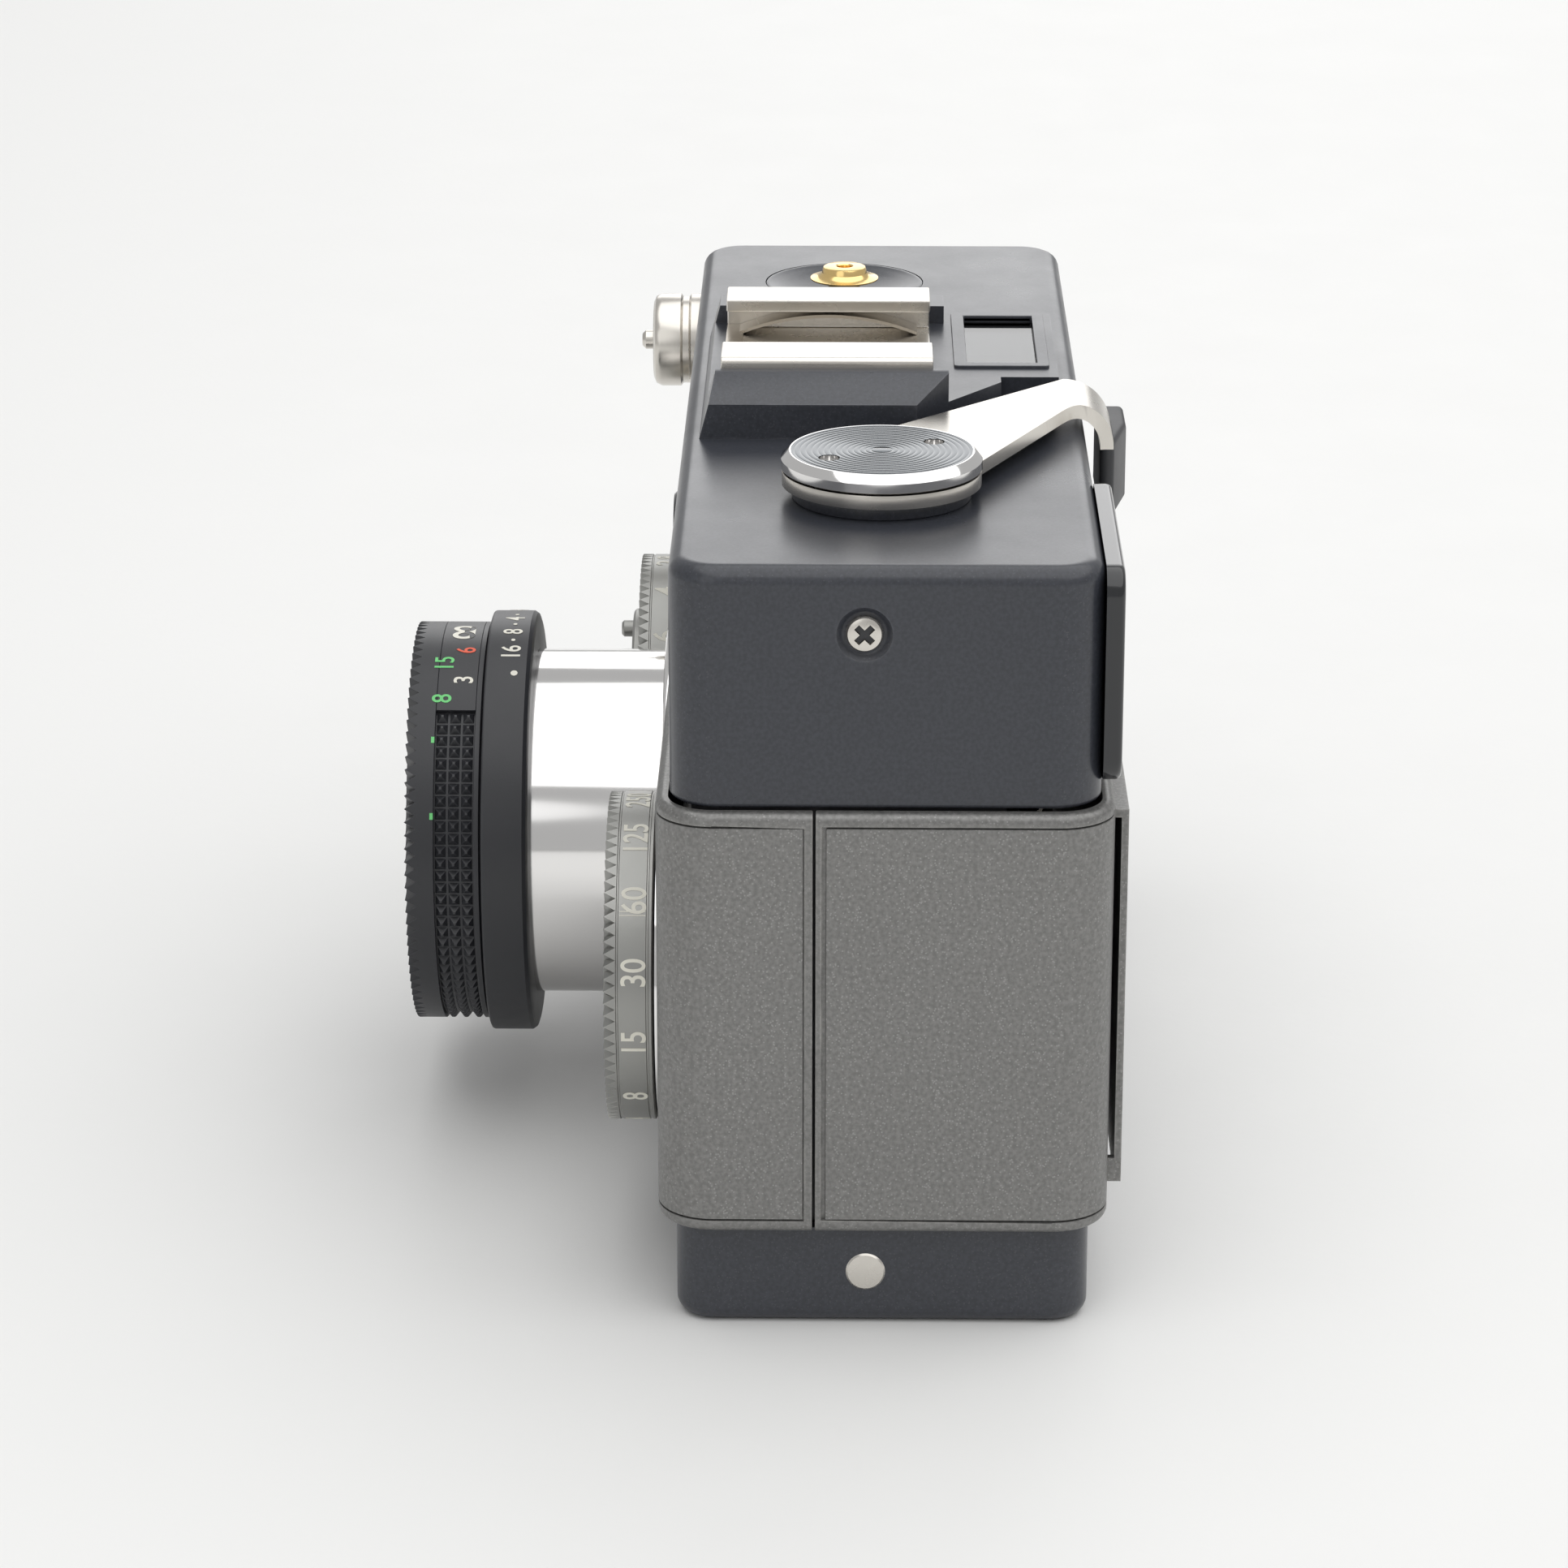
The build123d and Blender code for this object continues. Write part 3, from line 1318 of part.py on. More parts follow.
for name, piece in pieces.items():
    export_step(piece, f"parts/{name}.step")
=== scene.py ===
"""Looks of a compact 35 mm film camera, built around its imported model."""

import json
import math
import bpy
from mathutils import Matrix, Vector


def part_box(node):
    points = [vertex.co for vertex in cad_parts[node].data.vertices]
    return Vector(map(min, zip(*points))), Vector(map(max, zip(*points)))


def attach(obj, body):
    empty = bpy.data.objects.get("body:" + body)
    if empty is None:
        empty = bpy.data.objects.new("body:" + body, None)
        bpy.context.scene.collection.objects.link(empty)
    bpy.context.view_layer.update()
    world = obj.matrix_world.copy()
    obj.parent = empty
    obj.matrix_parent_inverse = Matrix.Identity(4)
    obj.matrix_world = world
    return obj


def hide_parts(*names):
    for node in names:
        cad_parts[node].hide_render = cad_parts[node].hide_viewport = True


bl_info = {
    "name": "Compact film camera",
    "version": (1, 0, 0),
    "blender": (4, 5, 0),
    "location": "View3D > Sidebar > Film camera",
    "description": "Builds the finishes and the detailed pieces of a compact 35 mm film camera",
    "category": "Object",
}

import bmesh
import bpy
from bpy.props import FloatProperty, FloatVectorProperty, IntProperty, PointerProperty
from mathutils import Matrix, Vector

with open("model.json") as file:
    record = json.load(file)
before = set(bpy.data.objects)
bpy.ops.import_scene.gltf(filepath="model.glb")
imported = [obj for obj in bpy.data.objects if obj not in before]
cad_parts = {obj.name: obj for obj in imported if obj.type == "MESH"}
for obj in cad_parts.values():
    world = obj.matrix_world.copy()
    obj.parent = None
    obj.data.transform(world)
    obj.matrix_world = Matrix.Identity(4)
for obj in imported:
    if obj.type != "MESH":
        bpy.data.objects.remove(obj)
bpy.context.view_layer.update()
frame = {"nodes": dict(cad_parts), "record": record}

# Units and general values
MM = 0.001
WELD = 0.002 * MM
CREASE = math.radians(28)
REACH = 5 * MM
AXES = {"X": Vector((1, 0, 0)), "Y": Vector((0, 1, 0)), "Z": Vector((0, 0, 1))}


class Room:
    """Box of one node of the model at rest, in metres."""

    def __init__(self, node):
        self.low, self.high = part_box(node)
        self.middle = (self.low + self.high) / 2
        self.size = self.high - self.low


lens = Room("lens_barrel")
lens_axis = Vector((lens.middle.x, 0, lens.middle.z))


# Settings

def colour(name, description, value):
    """Colour property with plain defaults."""
    return FloatVectorProperty(name=name, description=description, default=value, size=3,
                               min=0, max=1, subtype="COLOR")


def length(name, description, value):
    """Length property, in metres."""
    return FloatProperty(name=name, description=description, default=value, min=0,
                         subtype="DISTANCE", unit="LENGTH", precision=5)


class CameraFinishes(bpy.types.PropertyGroup):
    """Colours of the camera's finishes."""

    black: colour("Black enamel", "Enamel of the top plate and the base", (0.034, 0.037, 0.046))
    worn: colour("Worn enamel", "Enamel where edges are rubbed", (0.12, 0.125, 0.14))
    grey: colour("Grey paint", "Metallic paint of the middle section", (0.205, 0.203, 0.197))
    flake: colour("Paint flakes", "Bright flakes in the grey paint", (0.31, 0.31, 0.30))
    nickel: colour("Satin nickel", "Plating of the lever and the shoe", (0.68, 0.65, 0.60))
    chrome: colour("Chrome", "Plating of the lens barrel", (0.82, 0.81, 0.80))
    dial: colour("Dial metal", "Anodised front dials", (0.33, 0.33, 0.315))
    anodised: colour("Black anodised", "Rings of the lens", (0.024, 0.025, 0.029))
    gold: colour("Gold", "Release button", (0.93, 0.67, 0.28))
    plastic: colour("Black plastic", "Thumb pad and inner pieces", (0.030, 0.031, 0.034))
    white_fill: colour("White fill", "Engraved figures", (0.80, 0.78, 0.69))
    green_fill: colour("Green fill", "Figures in feet", (0.16, 0.62, 0.20))
    red_fill: colour("Red fill", "Figure for snapshots", (0.80, 0.12, 0.06))


class CameraShapes(bpy.types.PropertyGroup):
    """Sizes of the fine details."""

    edge: length("Edge", "Rounding of small machined edges", 0.12 * MM)
    top_rim: length("Top rim", "Rounding of the top plate's upper edge", 1.3 * MM)
    top_corner: length("Top corner", "Upright corners of the top plate", 3.4 * MM)
    body_corner: length("Body corner", "Upright corners of the middle section", 4.0 * MM)
    body_rim: length("Body rim", "Rounding of the middle section's rims", 0.7 * MM)
    base_rim: length("Base rim", "Rounding under the base", 1.2 * MM)
    panel_edge: length("Panel edge", "Softened edge of the grey skins", 0.10 * MM)
    figure_depth: length("Figure depth", "Height of the paint in the figures", 0.03 * MM)
    ring_teeth: IntProperty(name="Ring teeth", description="Teeth round the focusing ring",
                            default=96, min=12)
    dial_teeth: IntProperty(name="Dial teeth", description="Teeth round each front dial",
                            default=84, min=12)


class CameraStage(bpy.types.PropertyGroup):
    """Floor and light."""

    floor: colour("Floor", "Floor and backdrop", (0.80, 0.80, 0.79))
    sky: colour("Surroundings", "Soft light from all round", (0.50, 0.50, 0.50))
    key: FloatProperty(name="Key light", description="Power of the large light overhead",
                       default=8.0, min=0, unit="POWER")
    fill: FloatProperty(name="Fill light", description="Power of the light behind the viewer",
                        default=0.8, min=0, unit="POWER")
    back: FloatProperty(name="Back light", description="Power of the low light on the far side",
                        default=1.2, min=0, unit="POWER")


# Mesh helpers

def cleaned(shape):
    """Merges doubles and turns the faces outwards."""
    bmesh.ops.remove_doubles(shape, verts=shape.verts, dist=WELD)
    bmesh.ops.recalc_face_normals(shape, faces=shape.faces)
    return shape


def creases(shape):
    """Edges between faces that meet at a clear angle."""
    return [e for e in shape.edges if len(e.link_faces) == 2 and e.calc_face_angle() > CREASE]


def softened(shape, width, steps=3, edges=None):
    """Rounds sharp edges."""
    chosen = creases(shape) if edges is None else edges
    bmesh.ops.bevel(shape, geom=chosen, offset=width, offset_type="OFFSET", segments=steps,
                    profile=0.5, affect="EDGES", clamp_overlap=True, material=-1)
    return shape


def spun(profile, middle, axis, steps=96):
    """Turned piece: profile holds pairs of radius and place along the axis."""
    shape = bmesh.new()
    along = AXES[axis]
    across = AXES["X"] if axis == "Z" else AXES["Z"]
    start = middle - middle.dot(along) * along
    points = [shape.verts.new(start + across * radius + along * place) for radius, place in profile]
    pairs = list(zip(points, points[1:]))
    if profile[0][0] > WELD or profile[-1][0] > WELD:
        pairs.append((points[-1], points[0]))
    edges = [shape.edges.new(pair) for pair in pairs]
    bmesh.ops.spin(shape, geom=points + edges, cent=start, axis=along, dvec=(0, 0, 0),
                   angle=math.tau, steps=steps, use_merge=True, use_duplicate=False)
    return cleaned(shape)


def disc(middle, axis, radius, low, high, steps=96):
    """Turned solid disc."""
    return spun([(0, low), (radius, low), (radius, high), (0, high)], middle, axis, steps)


def ring(middle, axis, radius, bore, low, high, steps=96):
    """Turned ring."""
    return spun([(bore, low), (radius, low), (radius, high), (bore, high)], middle, axis, steps)


def extruded(outline, low, high, axis="Z"):
    """Prism over an outline of pairs, along one axis."""
    shape = bmesh.new()
    if axis == "Z":
        points = [(a, b, low) for a, b in outline]
    elif axis == "Y":
        points = [(a, low, b) for a, b in outline]
    else:
        points = [(low, a, b) for a, b in outline]
    face = shape.faces.new([shape.verts.new(point) for point in points])
    made = bmesh.ops.extrude_face_region(shape, geom=[face])
    moved = [item for item in made["geom"] if isinstance(item, bmesh.types.BMVert)]
    bmesh.ops.translate(shape, verts=moved, vec=AXES[axis] * (high - low))
    return cleaned(shape)


def block(low, high):
    """Plain box between two corners, for cutting and as a start."""
    shape = bmesh.new()
    low, high = Vector(low), Vector(high)
    size = Matrix.Diagonal((*(high - low), 1))
    bmesh.ops.create_cube(shape, size=1, matrix=Matrix.Translation((low + high) / 2) @ size)
    return shape


def upright(edge):
    """True for an edge along Z."""
    return abs((edge.verts[0].co - edge.verts[1].co).normalized().z) > 0.99


def level(edge, height):
    """True for an edge that lies at one height."""
    return all(abs(point.co.z - height) < WELD for point in edge.verts)


def slab(low, high, corner, top_rim=0, base_rim=0):
    """Box with round upright corners and rims."""
    shape = block(low, high)
    softened(shape, corner, 12, [e for e in shape.edges if upright(e)])
    for rim, height in ((top_rim, high[2]), (base_rim, low[2])):
        if rim > 0:
            edges = [e for e in shape.edges if level(e, height) and e.calc_face_angle() > CREASE]
            softened(shape, rim, 6, edges)
    return cleaned(shape)


def gathered(*shapes):
    """One mesh with the faces of several."""
    whole = bmesh.new()
    for shape in shapes:
        mesh = bpy.data.meshes.new("part")
        shape.to_mesh(mesh)
        shape.free()
        whole.from_mesh(mesh)
        bpy.data.meshes.remove(mesh)
    return whole


def combined(operation, base, tool):
    """Union, difference or intersection of two closed shapes."""
    holders = []
    for shape in (base, tool):
        mesh = bpy.data.meshes.new("work")
        shape.to_mesh(mesh)
        shape.free()
        holder = bpy.data.objects.new("work", mesh)
        bpy.context.scene.collection.objects.link(holder)
        holders.append(holder)
    change = holders[0].modifiers.new("change", "BOOLEAN")
    change.operation = operation
    change.solver = "EXACT"
    change.object = holders[1]
    result = bmesh.new()
    result.from_object(holders[0], bpy.context.evaluated_depsgraph_get())
    for holder in holders:
        mesh = holder.data
        bpy.data.objects.remove(holder)
        bpy.data.meshes.remove(mesh)
    return result


def carved(base, *tools):
    """Base without the tools."""
    for tool in tools:
        base = combined("DIFFERENCE", base, tool)
    return base


def welded(base, *others):
    """Base and others as one closed shape."""
    for other in others:
        base = combined("UNION", base, other)
    return base


def bent_round(shape, middle, radius, place, angle):
    """Wraps flat figures round a ring on the Y axis: X runs up the ring and Y to the front."""
    for point in shape.verts:
        turn = angle + point.co.x / radius
        reach = radius + point.co.z
        point.co = (middle.x + reach * math.cos(turn), place - point.co.y,
                    middle.z + reach * math.sin(turn))
    return shape


def figures(text, height, depth, narrow=0.85):
    """Flat raised figures, centred on the origin."""
    curve = bpy.data.curves.new("figures", "FONT")
    curve.body = text
    curve.size = height * 1.4
    curve.align_x = "CENTER"
    curve.extrude = depth
    curve.offset = height * 0.012
    curve.resolution_u = 6
    holder = bpy.data.objects.new("figures", curve)
    bpy.context.scene.collection.objects.link(holder)
    mesh = bpy.data.meshes.new_from_object(holder.evaluated_get(bpy.context.evaluated_depsgraph_get()))
    shape = bmesh.new()
    shape.from_mesh(mesh)
    bpy.data.objects.remove(holder)
    bpy.data.curves.remove(curve)
    bpy.data.meshes.remove(mesh)
    bmesh.ops.remove_doubles(shape, verts=shape.verts, dist=WELD / 4)
    heights = [point.co.y for point in shape.verts]
    bmesh.ops.translate(shape, verts=shape.verts, vec=(0, -(min(heights) + max(heights)) / 2, 0))
    bmesh.ops.scale(shape, verts=shape.verts, vec=(narrow, 1, 1))
    return shape


def wheel(middle, rows, count):
    """Closed ring round the Y axis; every row is a pair of (radius, place), for crest and valley."""
    shape = bmesh.new()
    loops = []
    for crest, valley in rows:
        loop = []
        for step in range(2 * count):
            turn = math.pi * step / count
            radius, place = valley if step % 2 else crest
            loop.append(shape.verts.new((middle.x + radius * math.cos(turn), place,
                                         middle.z + radius * math.sin(turn))))
        loops.append(loop)
    for first, second in zip(loops, loops[1:] + loops[:1]):
        for step in range(2 * count):
            following = (step + 1) % (2 * count)
            shape.faces.new((first[step], first[following], second[following], second[step]))
    return cleaned(shape)


def both(radius, place):
    """Row of a wheel that is the same at crests and valleys."""
    return ((radius, place), (radius, place))


def sector(middle, radius, bore, low, high, start, end, steps=60):
    """Closed part of a ring on the Y axis; angles in degrees."""
    shape = bmesh.new()
    loops = []
    for step in range(steps + 1):
        turn = math.radians(start + (end - start) * step / steps)
        loops.append([shape.verts.new((middle.x + reach * math.cos(turn), place, middle.z + reach * math.sin(turn)))
                      for reach, place in ((bore, low), (radius, low), (radius, high), (bore, high))])
    for first, second in zip(loops, loops[1:]):
        for index in range(4):
            following = (index + 1) % 4
            shape.faces.new((first[index], first[following], second[following], second[index]))
    shape.faces.new(loops[0])
    shape.faces.new(loops[-1])
    return cleaned(shape)


def studded(middle, radius, rows, pitch, start, end, wide, high):
    """Small pyramids in rows round part of a ring on the Y axis; angles in radians."""
    shape = bmesh.new()
    count = int(abs(end - start) * radius / pitch)
    for place in rows:
        for index in range(count):
            angle = start + (end - start) * (index + 0.5) / count
            turn = Matrix.Rotation(-angle, 4, "Y")
            lift = Matrix.Translation((radius + high / 2 - 0.05 * MM, 0, 0))
            lean = Matrix.Rotation(math.pi / 2, 4, "Y") @ Matrix.Rotation(math.pi / 4, 4, "Z")
            spot = Matrix.Translation((middle.x, place, middle.z)) @ turn @ lift @ lean
            bmesh.ops.create_cone(shape, cap_ends=True, segments=4, depth=high + 0.1 * MM,
                                  radius1=wide * 0.73, radius2=wide * 0.13, matrix=spot)
    return shape


def piece(name, shape, body, finish, replaced=()):
    """Makes the finished object of one shape."""
    for face in shape.faces:
        face.smooth = True
    for edge in shape.edges:
        edge.smooth = len(edge.link_faces) != 2 or edge.calc_face_angle() < CREASE
    mesh = bpy.data.meshes.new(name)
    shape.to_mesh(mesh)
    shape.free()
    made = bpy.data.objects.new(name, mesh)
    bpy.context.scene.collection.objects.link(made)
    mesh.materials.append(material(finish))
    weights = made.modifiers.new("Even shading", "WEIGHTED_NORMAL")
    weights.keep_sharp = True
    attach(made, body)
    if replaced:
        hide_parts(*replaced)
    return made


# Materials

class Board:
    """Adds nodes to one node tree and joins their sockets."""

    def __init__(self, tree):
        self.tree = tree

    def add(self, kind, inputs=None, **settings):
        """New node; an input is a value or another node's output."""
        node = self.tree.nodes.new(kind)
        for key, value in settings.items():
            setattr(node, key, value)
        for key, value in (inputs or {}).items():
            if isinstance(value, bpy.types.NodeSocket):
                self.tree.links.new(value, node.inputs[key])
            else:
                node.inputs[key].default_value = value
        return node

    def maths(self, operation, *values, clamp=False):
        """Result of one sum."""
        node = self.add("ShaderNodeMath", dict(enumerate(values)), operation=operation, use_clamp=clamp)
        return node.outputs[0]

    def mixed(self, share, first, second):
        """Blend of two colours."""
        node = self.add("ShaderNodeMix", {0: share, 6: first, 7: second}, data_type="RGBA")
        return node.outputs[2]

    def ranged(self, value, low, high, to_low=0.0, to_high=1.0):
        """Value moved from one range to another."""
        node = self.add("ShaderNodeMapRange", {0: value, 1: low, 2: high, 3: to_low, 4: to_high})
        return node.outputs[0]


def effect(name, inputs, outputs, build):
    """Shader node group, made once."""
    group = bpy.data.node_groups.get(name)
    if group:
        return group
    group = bpy.data.node_groups.new(name, "ShaderNodeTree")
    for label, kind in inputs:
        group.interface.new_socket(label, in_out="INPUT", socket_type="NodeSocket" + kind)
    for label, kind in outputs:
        group.interface.new_socket(label, in_out="OUTPUT", socket_type="NodeSocket" + kind)
    board = Board(group)
    entry = group.nodes.new("NodeGroupInput")
    leave = group.nodes.new("NodeGroupOutput")
    for label, socket in build(board, entry.outputs).items():
        group.links.new(socket, leave.inputs[label])
    return group


def edge_wear():
    """Lighter, rubbed paint along outer edges."""
    def build(board, given):
        rounded = board.add("ShaderNodeBevel", {"Radius": given["Width"]}, samples=4)
        flat = board.add("ShaderNodeNewGeometry")
        facing = board.add("ShaderNodeVectorMath", {0: rounded.outputs[0], 1: flat.outputs["Normal"]},
                           operation="DOT_PRODUCT")
        bent = board.ranged(facing.outputs["Value"], 0.975, 0.86)
        place = board.add("ShaderNodeTexCoord")
        patches = board.add("ShaderNodeTexNoise", {"Vector": place.outputs["Object"], "Scale": 380.0,
                                                   "Detail": 4.0})
        broken = board.ranged(patches.outputs[0], 0.38, 0.62)
        mask = board.maths("MULTIPLY", board.maths("MULTIPLY", bent, broken), given["Amount"], clamp=True)
        return {"Colour": board.mixed(mask, given["Colour"], given["Bare"]), "Mask": mask}
    return effect("Edge wear", [("Colour", "Color"), ("Bare", "Color"), ("Width", "Float"),
                                ("Amount", "Float")], [("Colour", "Color"), ("Mask", "Float")], build)


def grain():
    """Fine orange-peel height of paint, plastic or blasted metal."""
    def build(board, given):
        place = board.add("ShaderNodeTexCoord")
        noise = board.add("ShaderNodeTexNoise", {"Vector": place.outputs["Object"], "Scale": given["Scale"],
                                                 "Detail": 3.0, "Roughness": 0.6})
        return {"Height": noise.outputs[0]}
    return effect("Grain", [("Scale", "Float")], [("Height", "Float")], build)


def flakes():
    """Tiny bright flakes or specks scattered in a colour."""
    def build(board, given):
        place = board.add("ShaderNodeTexCoord")
        cells = board.add("ShaderNodeTexVoronoi", {"Vector": place.outputs["Object"], "Scale": given["Scale"]})
        chosen = board.add("ShaderNodeSeparateColor", {0: cells.outputs["Color"]})
        bright = board.maths("GREATER_THAN", chosen.outputs[0], board.maths("SUBTRACT", 1.0, given["Share"]))
        near = board.ranged(cells.outputs["Distance"], 0.50, 0.20)
        half = board.maths("MULTIPLY", given["Scale"], 0.55)
        cloud = board.add("ShaderNodeTexNoise", {"Vector": place.outputs["Object"], "Scale": half, "Detail": 3.0})
        dark = board.add("ShaderNodeVectorMath", {0: given["Colour"], "Scale": 0.86}, operation="SCALE")
        light = board.add("ShaderNodeVectorMath", {0: given["Colour"], "Scale": 1.15}, operation="SCALE")
        mottled = board.mixed(board.ranged(cloud.outputs[0], 0.36, 0.64), dark.outputs[0], light.outputs[0])
        return {"Colour": board.mixed(board.maths("MULTIPLY", bright, near, clamp=True), mottled,
                                      given["Flake"])}
    return effect("Flakes", [("Colour", "Color"), ("Flake", "Color"), ("Scale", "Float"),
                             ("Share", "Float")], [("Colour", "Color")], build)


def uneven():
    """Roughness that changes a little over the surface, as handling leaves it."""
    def build(board, given):
        place = board.add("ShaderNodeTexCoord")
        broad = board.add("ShaderNodeTexNoise", {"Vector": place.outputs["Object"], "Scale": 60.0,
                                                 "Detail": 5.0, "Roughness": 0.65})
        drift = board.maths("MULTIPLY", board.ranged(broad.outputs[0], 0.3, 0.7, -1.0, 1.0), given["Spread"])
        return {"Roughness": board.maths("ADD", given["Roughness"], drift, clamp=True)}
    return effect("Uneven gloss", [("Roughness", "Float"), ("Spread", "Float")],
                  [("Roughness", "Float")], build)


def tool_marks():
    """Fine lines that a lathe or a brush leaves, across the given coordinates."""
    def build(board, given):
        noise = board.add("ShaderNodeTexNoise", {"Vector": given["Vector"], "Scale": given["Scale"],
                                                 "Detail": 2.0})
        return {"Height": noise.outputs[0]}
    return effect("Tool marks", [("Vector", "Vector"), ("Scale", "Float")], [("Height", "Float")], build)


FINISHES = {}


def painted(name, tint, roughness, grain_scale, grain_depth, spread=0.06, bare=None, width=0.25 * MM,
            wear=0.0, flake=None, share=0.0, flake_scale=9000.0, metallic=0.0, coat=0.0):
    """Enamel, paint, anodising or plastic, with its grain and wear."""
    made = bpy.data.materials.new(name)
    made.use_nodes = True
    board = Board(made.node_tree)
    shader = made.node_tree.nodes["Principled BSDF"]
    shader.inputs["Metallic"].default_value = metallic
    shader.inputs["Coat Weight"].default_value = coat
    shader.inputs["Coat Roughness"].default_value = 0.25
    base = (*tint, 1)
    source = base
    if flake:
        speckled = board.add("ShaderNodeGroup", node_tree=flakes())
        for key, value in (("Colour", base), ("Flake", (*flake, 1)), ("Scale", flake_scale), ("Share", share)):
            speckled.inputs[key].default_value = value
        source = speckled.outputs["Colour"]
    if wear > 0:
        worn = board.add("ShaderNodeGroup", node_tree=edge_wear())
        for key, value in (("Colour", source), ("Bare", (*bare, 1)), ("Width", width), ("Amount", wear)):
            if isinstance(value, bpy.types.NodeSocket):
                made.node_tree.links.new(value, worn.inputs[key])
            else:
                worn.inputs[key].default_value = value
        source = worn.outputs["Colour"]
    if isinstance(source, bpy.types.NodeSocket):
        made.node_tree.links.new(source, shader.inputs["Base Color"])
    else:
        shader.inputs["Base Color"].default_value = base
    gloss = board.add("ShaderNodeGroup", node_tree=uneven())
    gloss.inputs["Roughness"].default_value = roughness
    gloss.inputs["Spread"].default_value = spread
    made.node_tree.links.new(gloss.outputs[0], shader.inputs["Roughness"])
    peel = board.add("ShaderNodeGroup", node_tree=grain())
    peel.inputs["Scale"].default_value = grain_scale
    bump = board.add("ShaderNodeBump", {"Height": peel.outputs[0], "Distance": grain_depth, "Strength": 1.0})
    made.node_tree.links.new(bump.outputs[0], shader.inputs["Normal"])
    made.diffuse_color = base
    FINISHES[name] = made
    return made


def metal(name, tint, roughness, spread=0.04, marks=(1.0, 1.0, 1.0), scale=3000.0, depth=0.004 * MM,
          centre=None):
    """Bare or plated metal, with brushed lines or lathe rings round a centre."""
    made = bpy.data.materials.new(name)
    made.use_nodes = True
    board = Board(made.node_tree)
    shader = made.node_tree.nodes["Principled BSDF"]
    shader.inputs["Base Color"].default_value = (*tint, 1)
    shader.inputs["Metallic"].default_value = 1.0
    gloss = board.add("ShaderNodeGroup", node_tree=uneven())
    gloss.inputs["Roughness"].default_value = roughness
    gloss.inputs["Spread"].default_value = spread
    made.node_tree.links.new(gloss.outputs[0], shader.inputs["Roughness"])
    place = board.add("ShaderNodeTexCoord")
    turned = board.add("ShaderNodeMapping", {"Vector": place.outputs["Object"]})
    turned.inputs["Scale"].default_value = marks
    vector = turned.outputs[0]
    if centre is not None:
        turned.inputs["Location"].default_value = [-a * b for a, b in zip(centre, marks)]
        away = board.add("ShaderNodeVectorMath", {0: vector}, operation="LENGTH")
        vector = board.add("ShaderNodeCombineXYZ", {"X": away.outputs["Value"]}).outputs[0]
    lines = board.add("ShaderNodeGroup", node_tree=tool_marks())
    lines.inputs["Scale"].default_value = scale
    made.node_tree.links.new(vector, lines.inputs["Vector"])
    bump = board.add("ShaderNodeBump", {"Height": lines.outputs[0], "Distance": depth, "Strength": 1.0})
    made.node_tree.links.new(bump.outputs[0], shader.inputs["Normal"])
    made.diffuse_color = (*tint, 1)
    FINISHES[name] = made
    return made


def clear(name, tint, roughness=0.02):
    """Clear glass with a faint tint."""
    made = bpy.data.materials.new(name)
    made.use_nodes = True
    board = Board(made.node_tree)
    shader = made.node_tree.nodes["Principled BSDF"]
    shader.inputs["Base Color"].default_value = (*tint, 1)
    shader.inputs["Transmission Weight"].default_value = 1.0
    shader.inputs["IOR"].default_value = 1.5
    gloss = board.add("ShaderNodeGroup", node_tree=uneven())
    gloss.inputs["Roughness"].default_value = roughness
    gloss.inputs["Spread"].default_value = 0.015
    made.node_tree.links.new(gloss.outputs[0], shader.inputs["Roughness"])
    made.diffuse_color = (*tint, 0.35)
    FINISHES[name] = made
    return made


def material(name):
    """Finish by name."""
    return FINISHES[name]


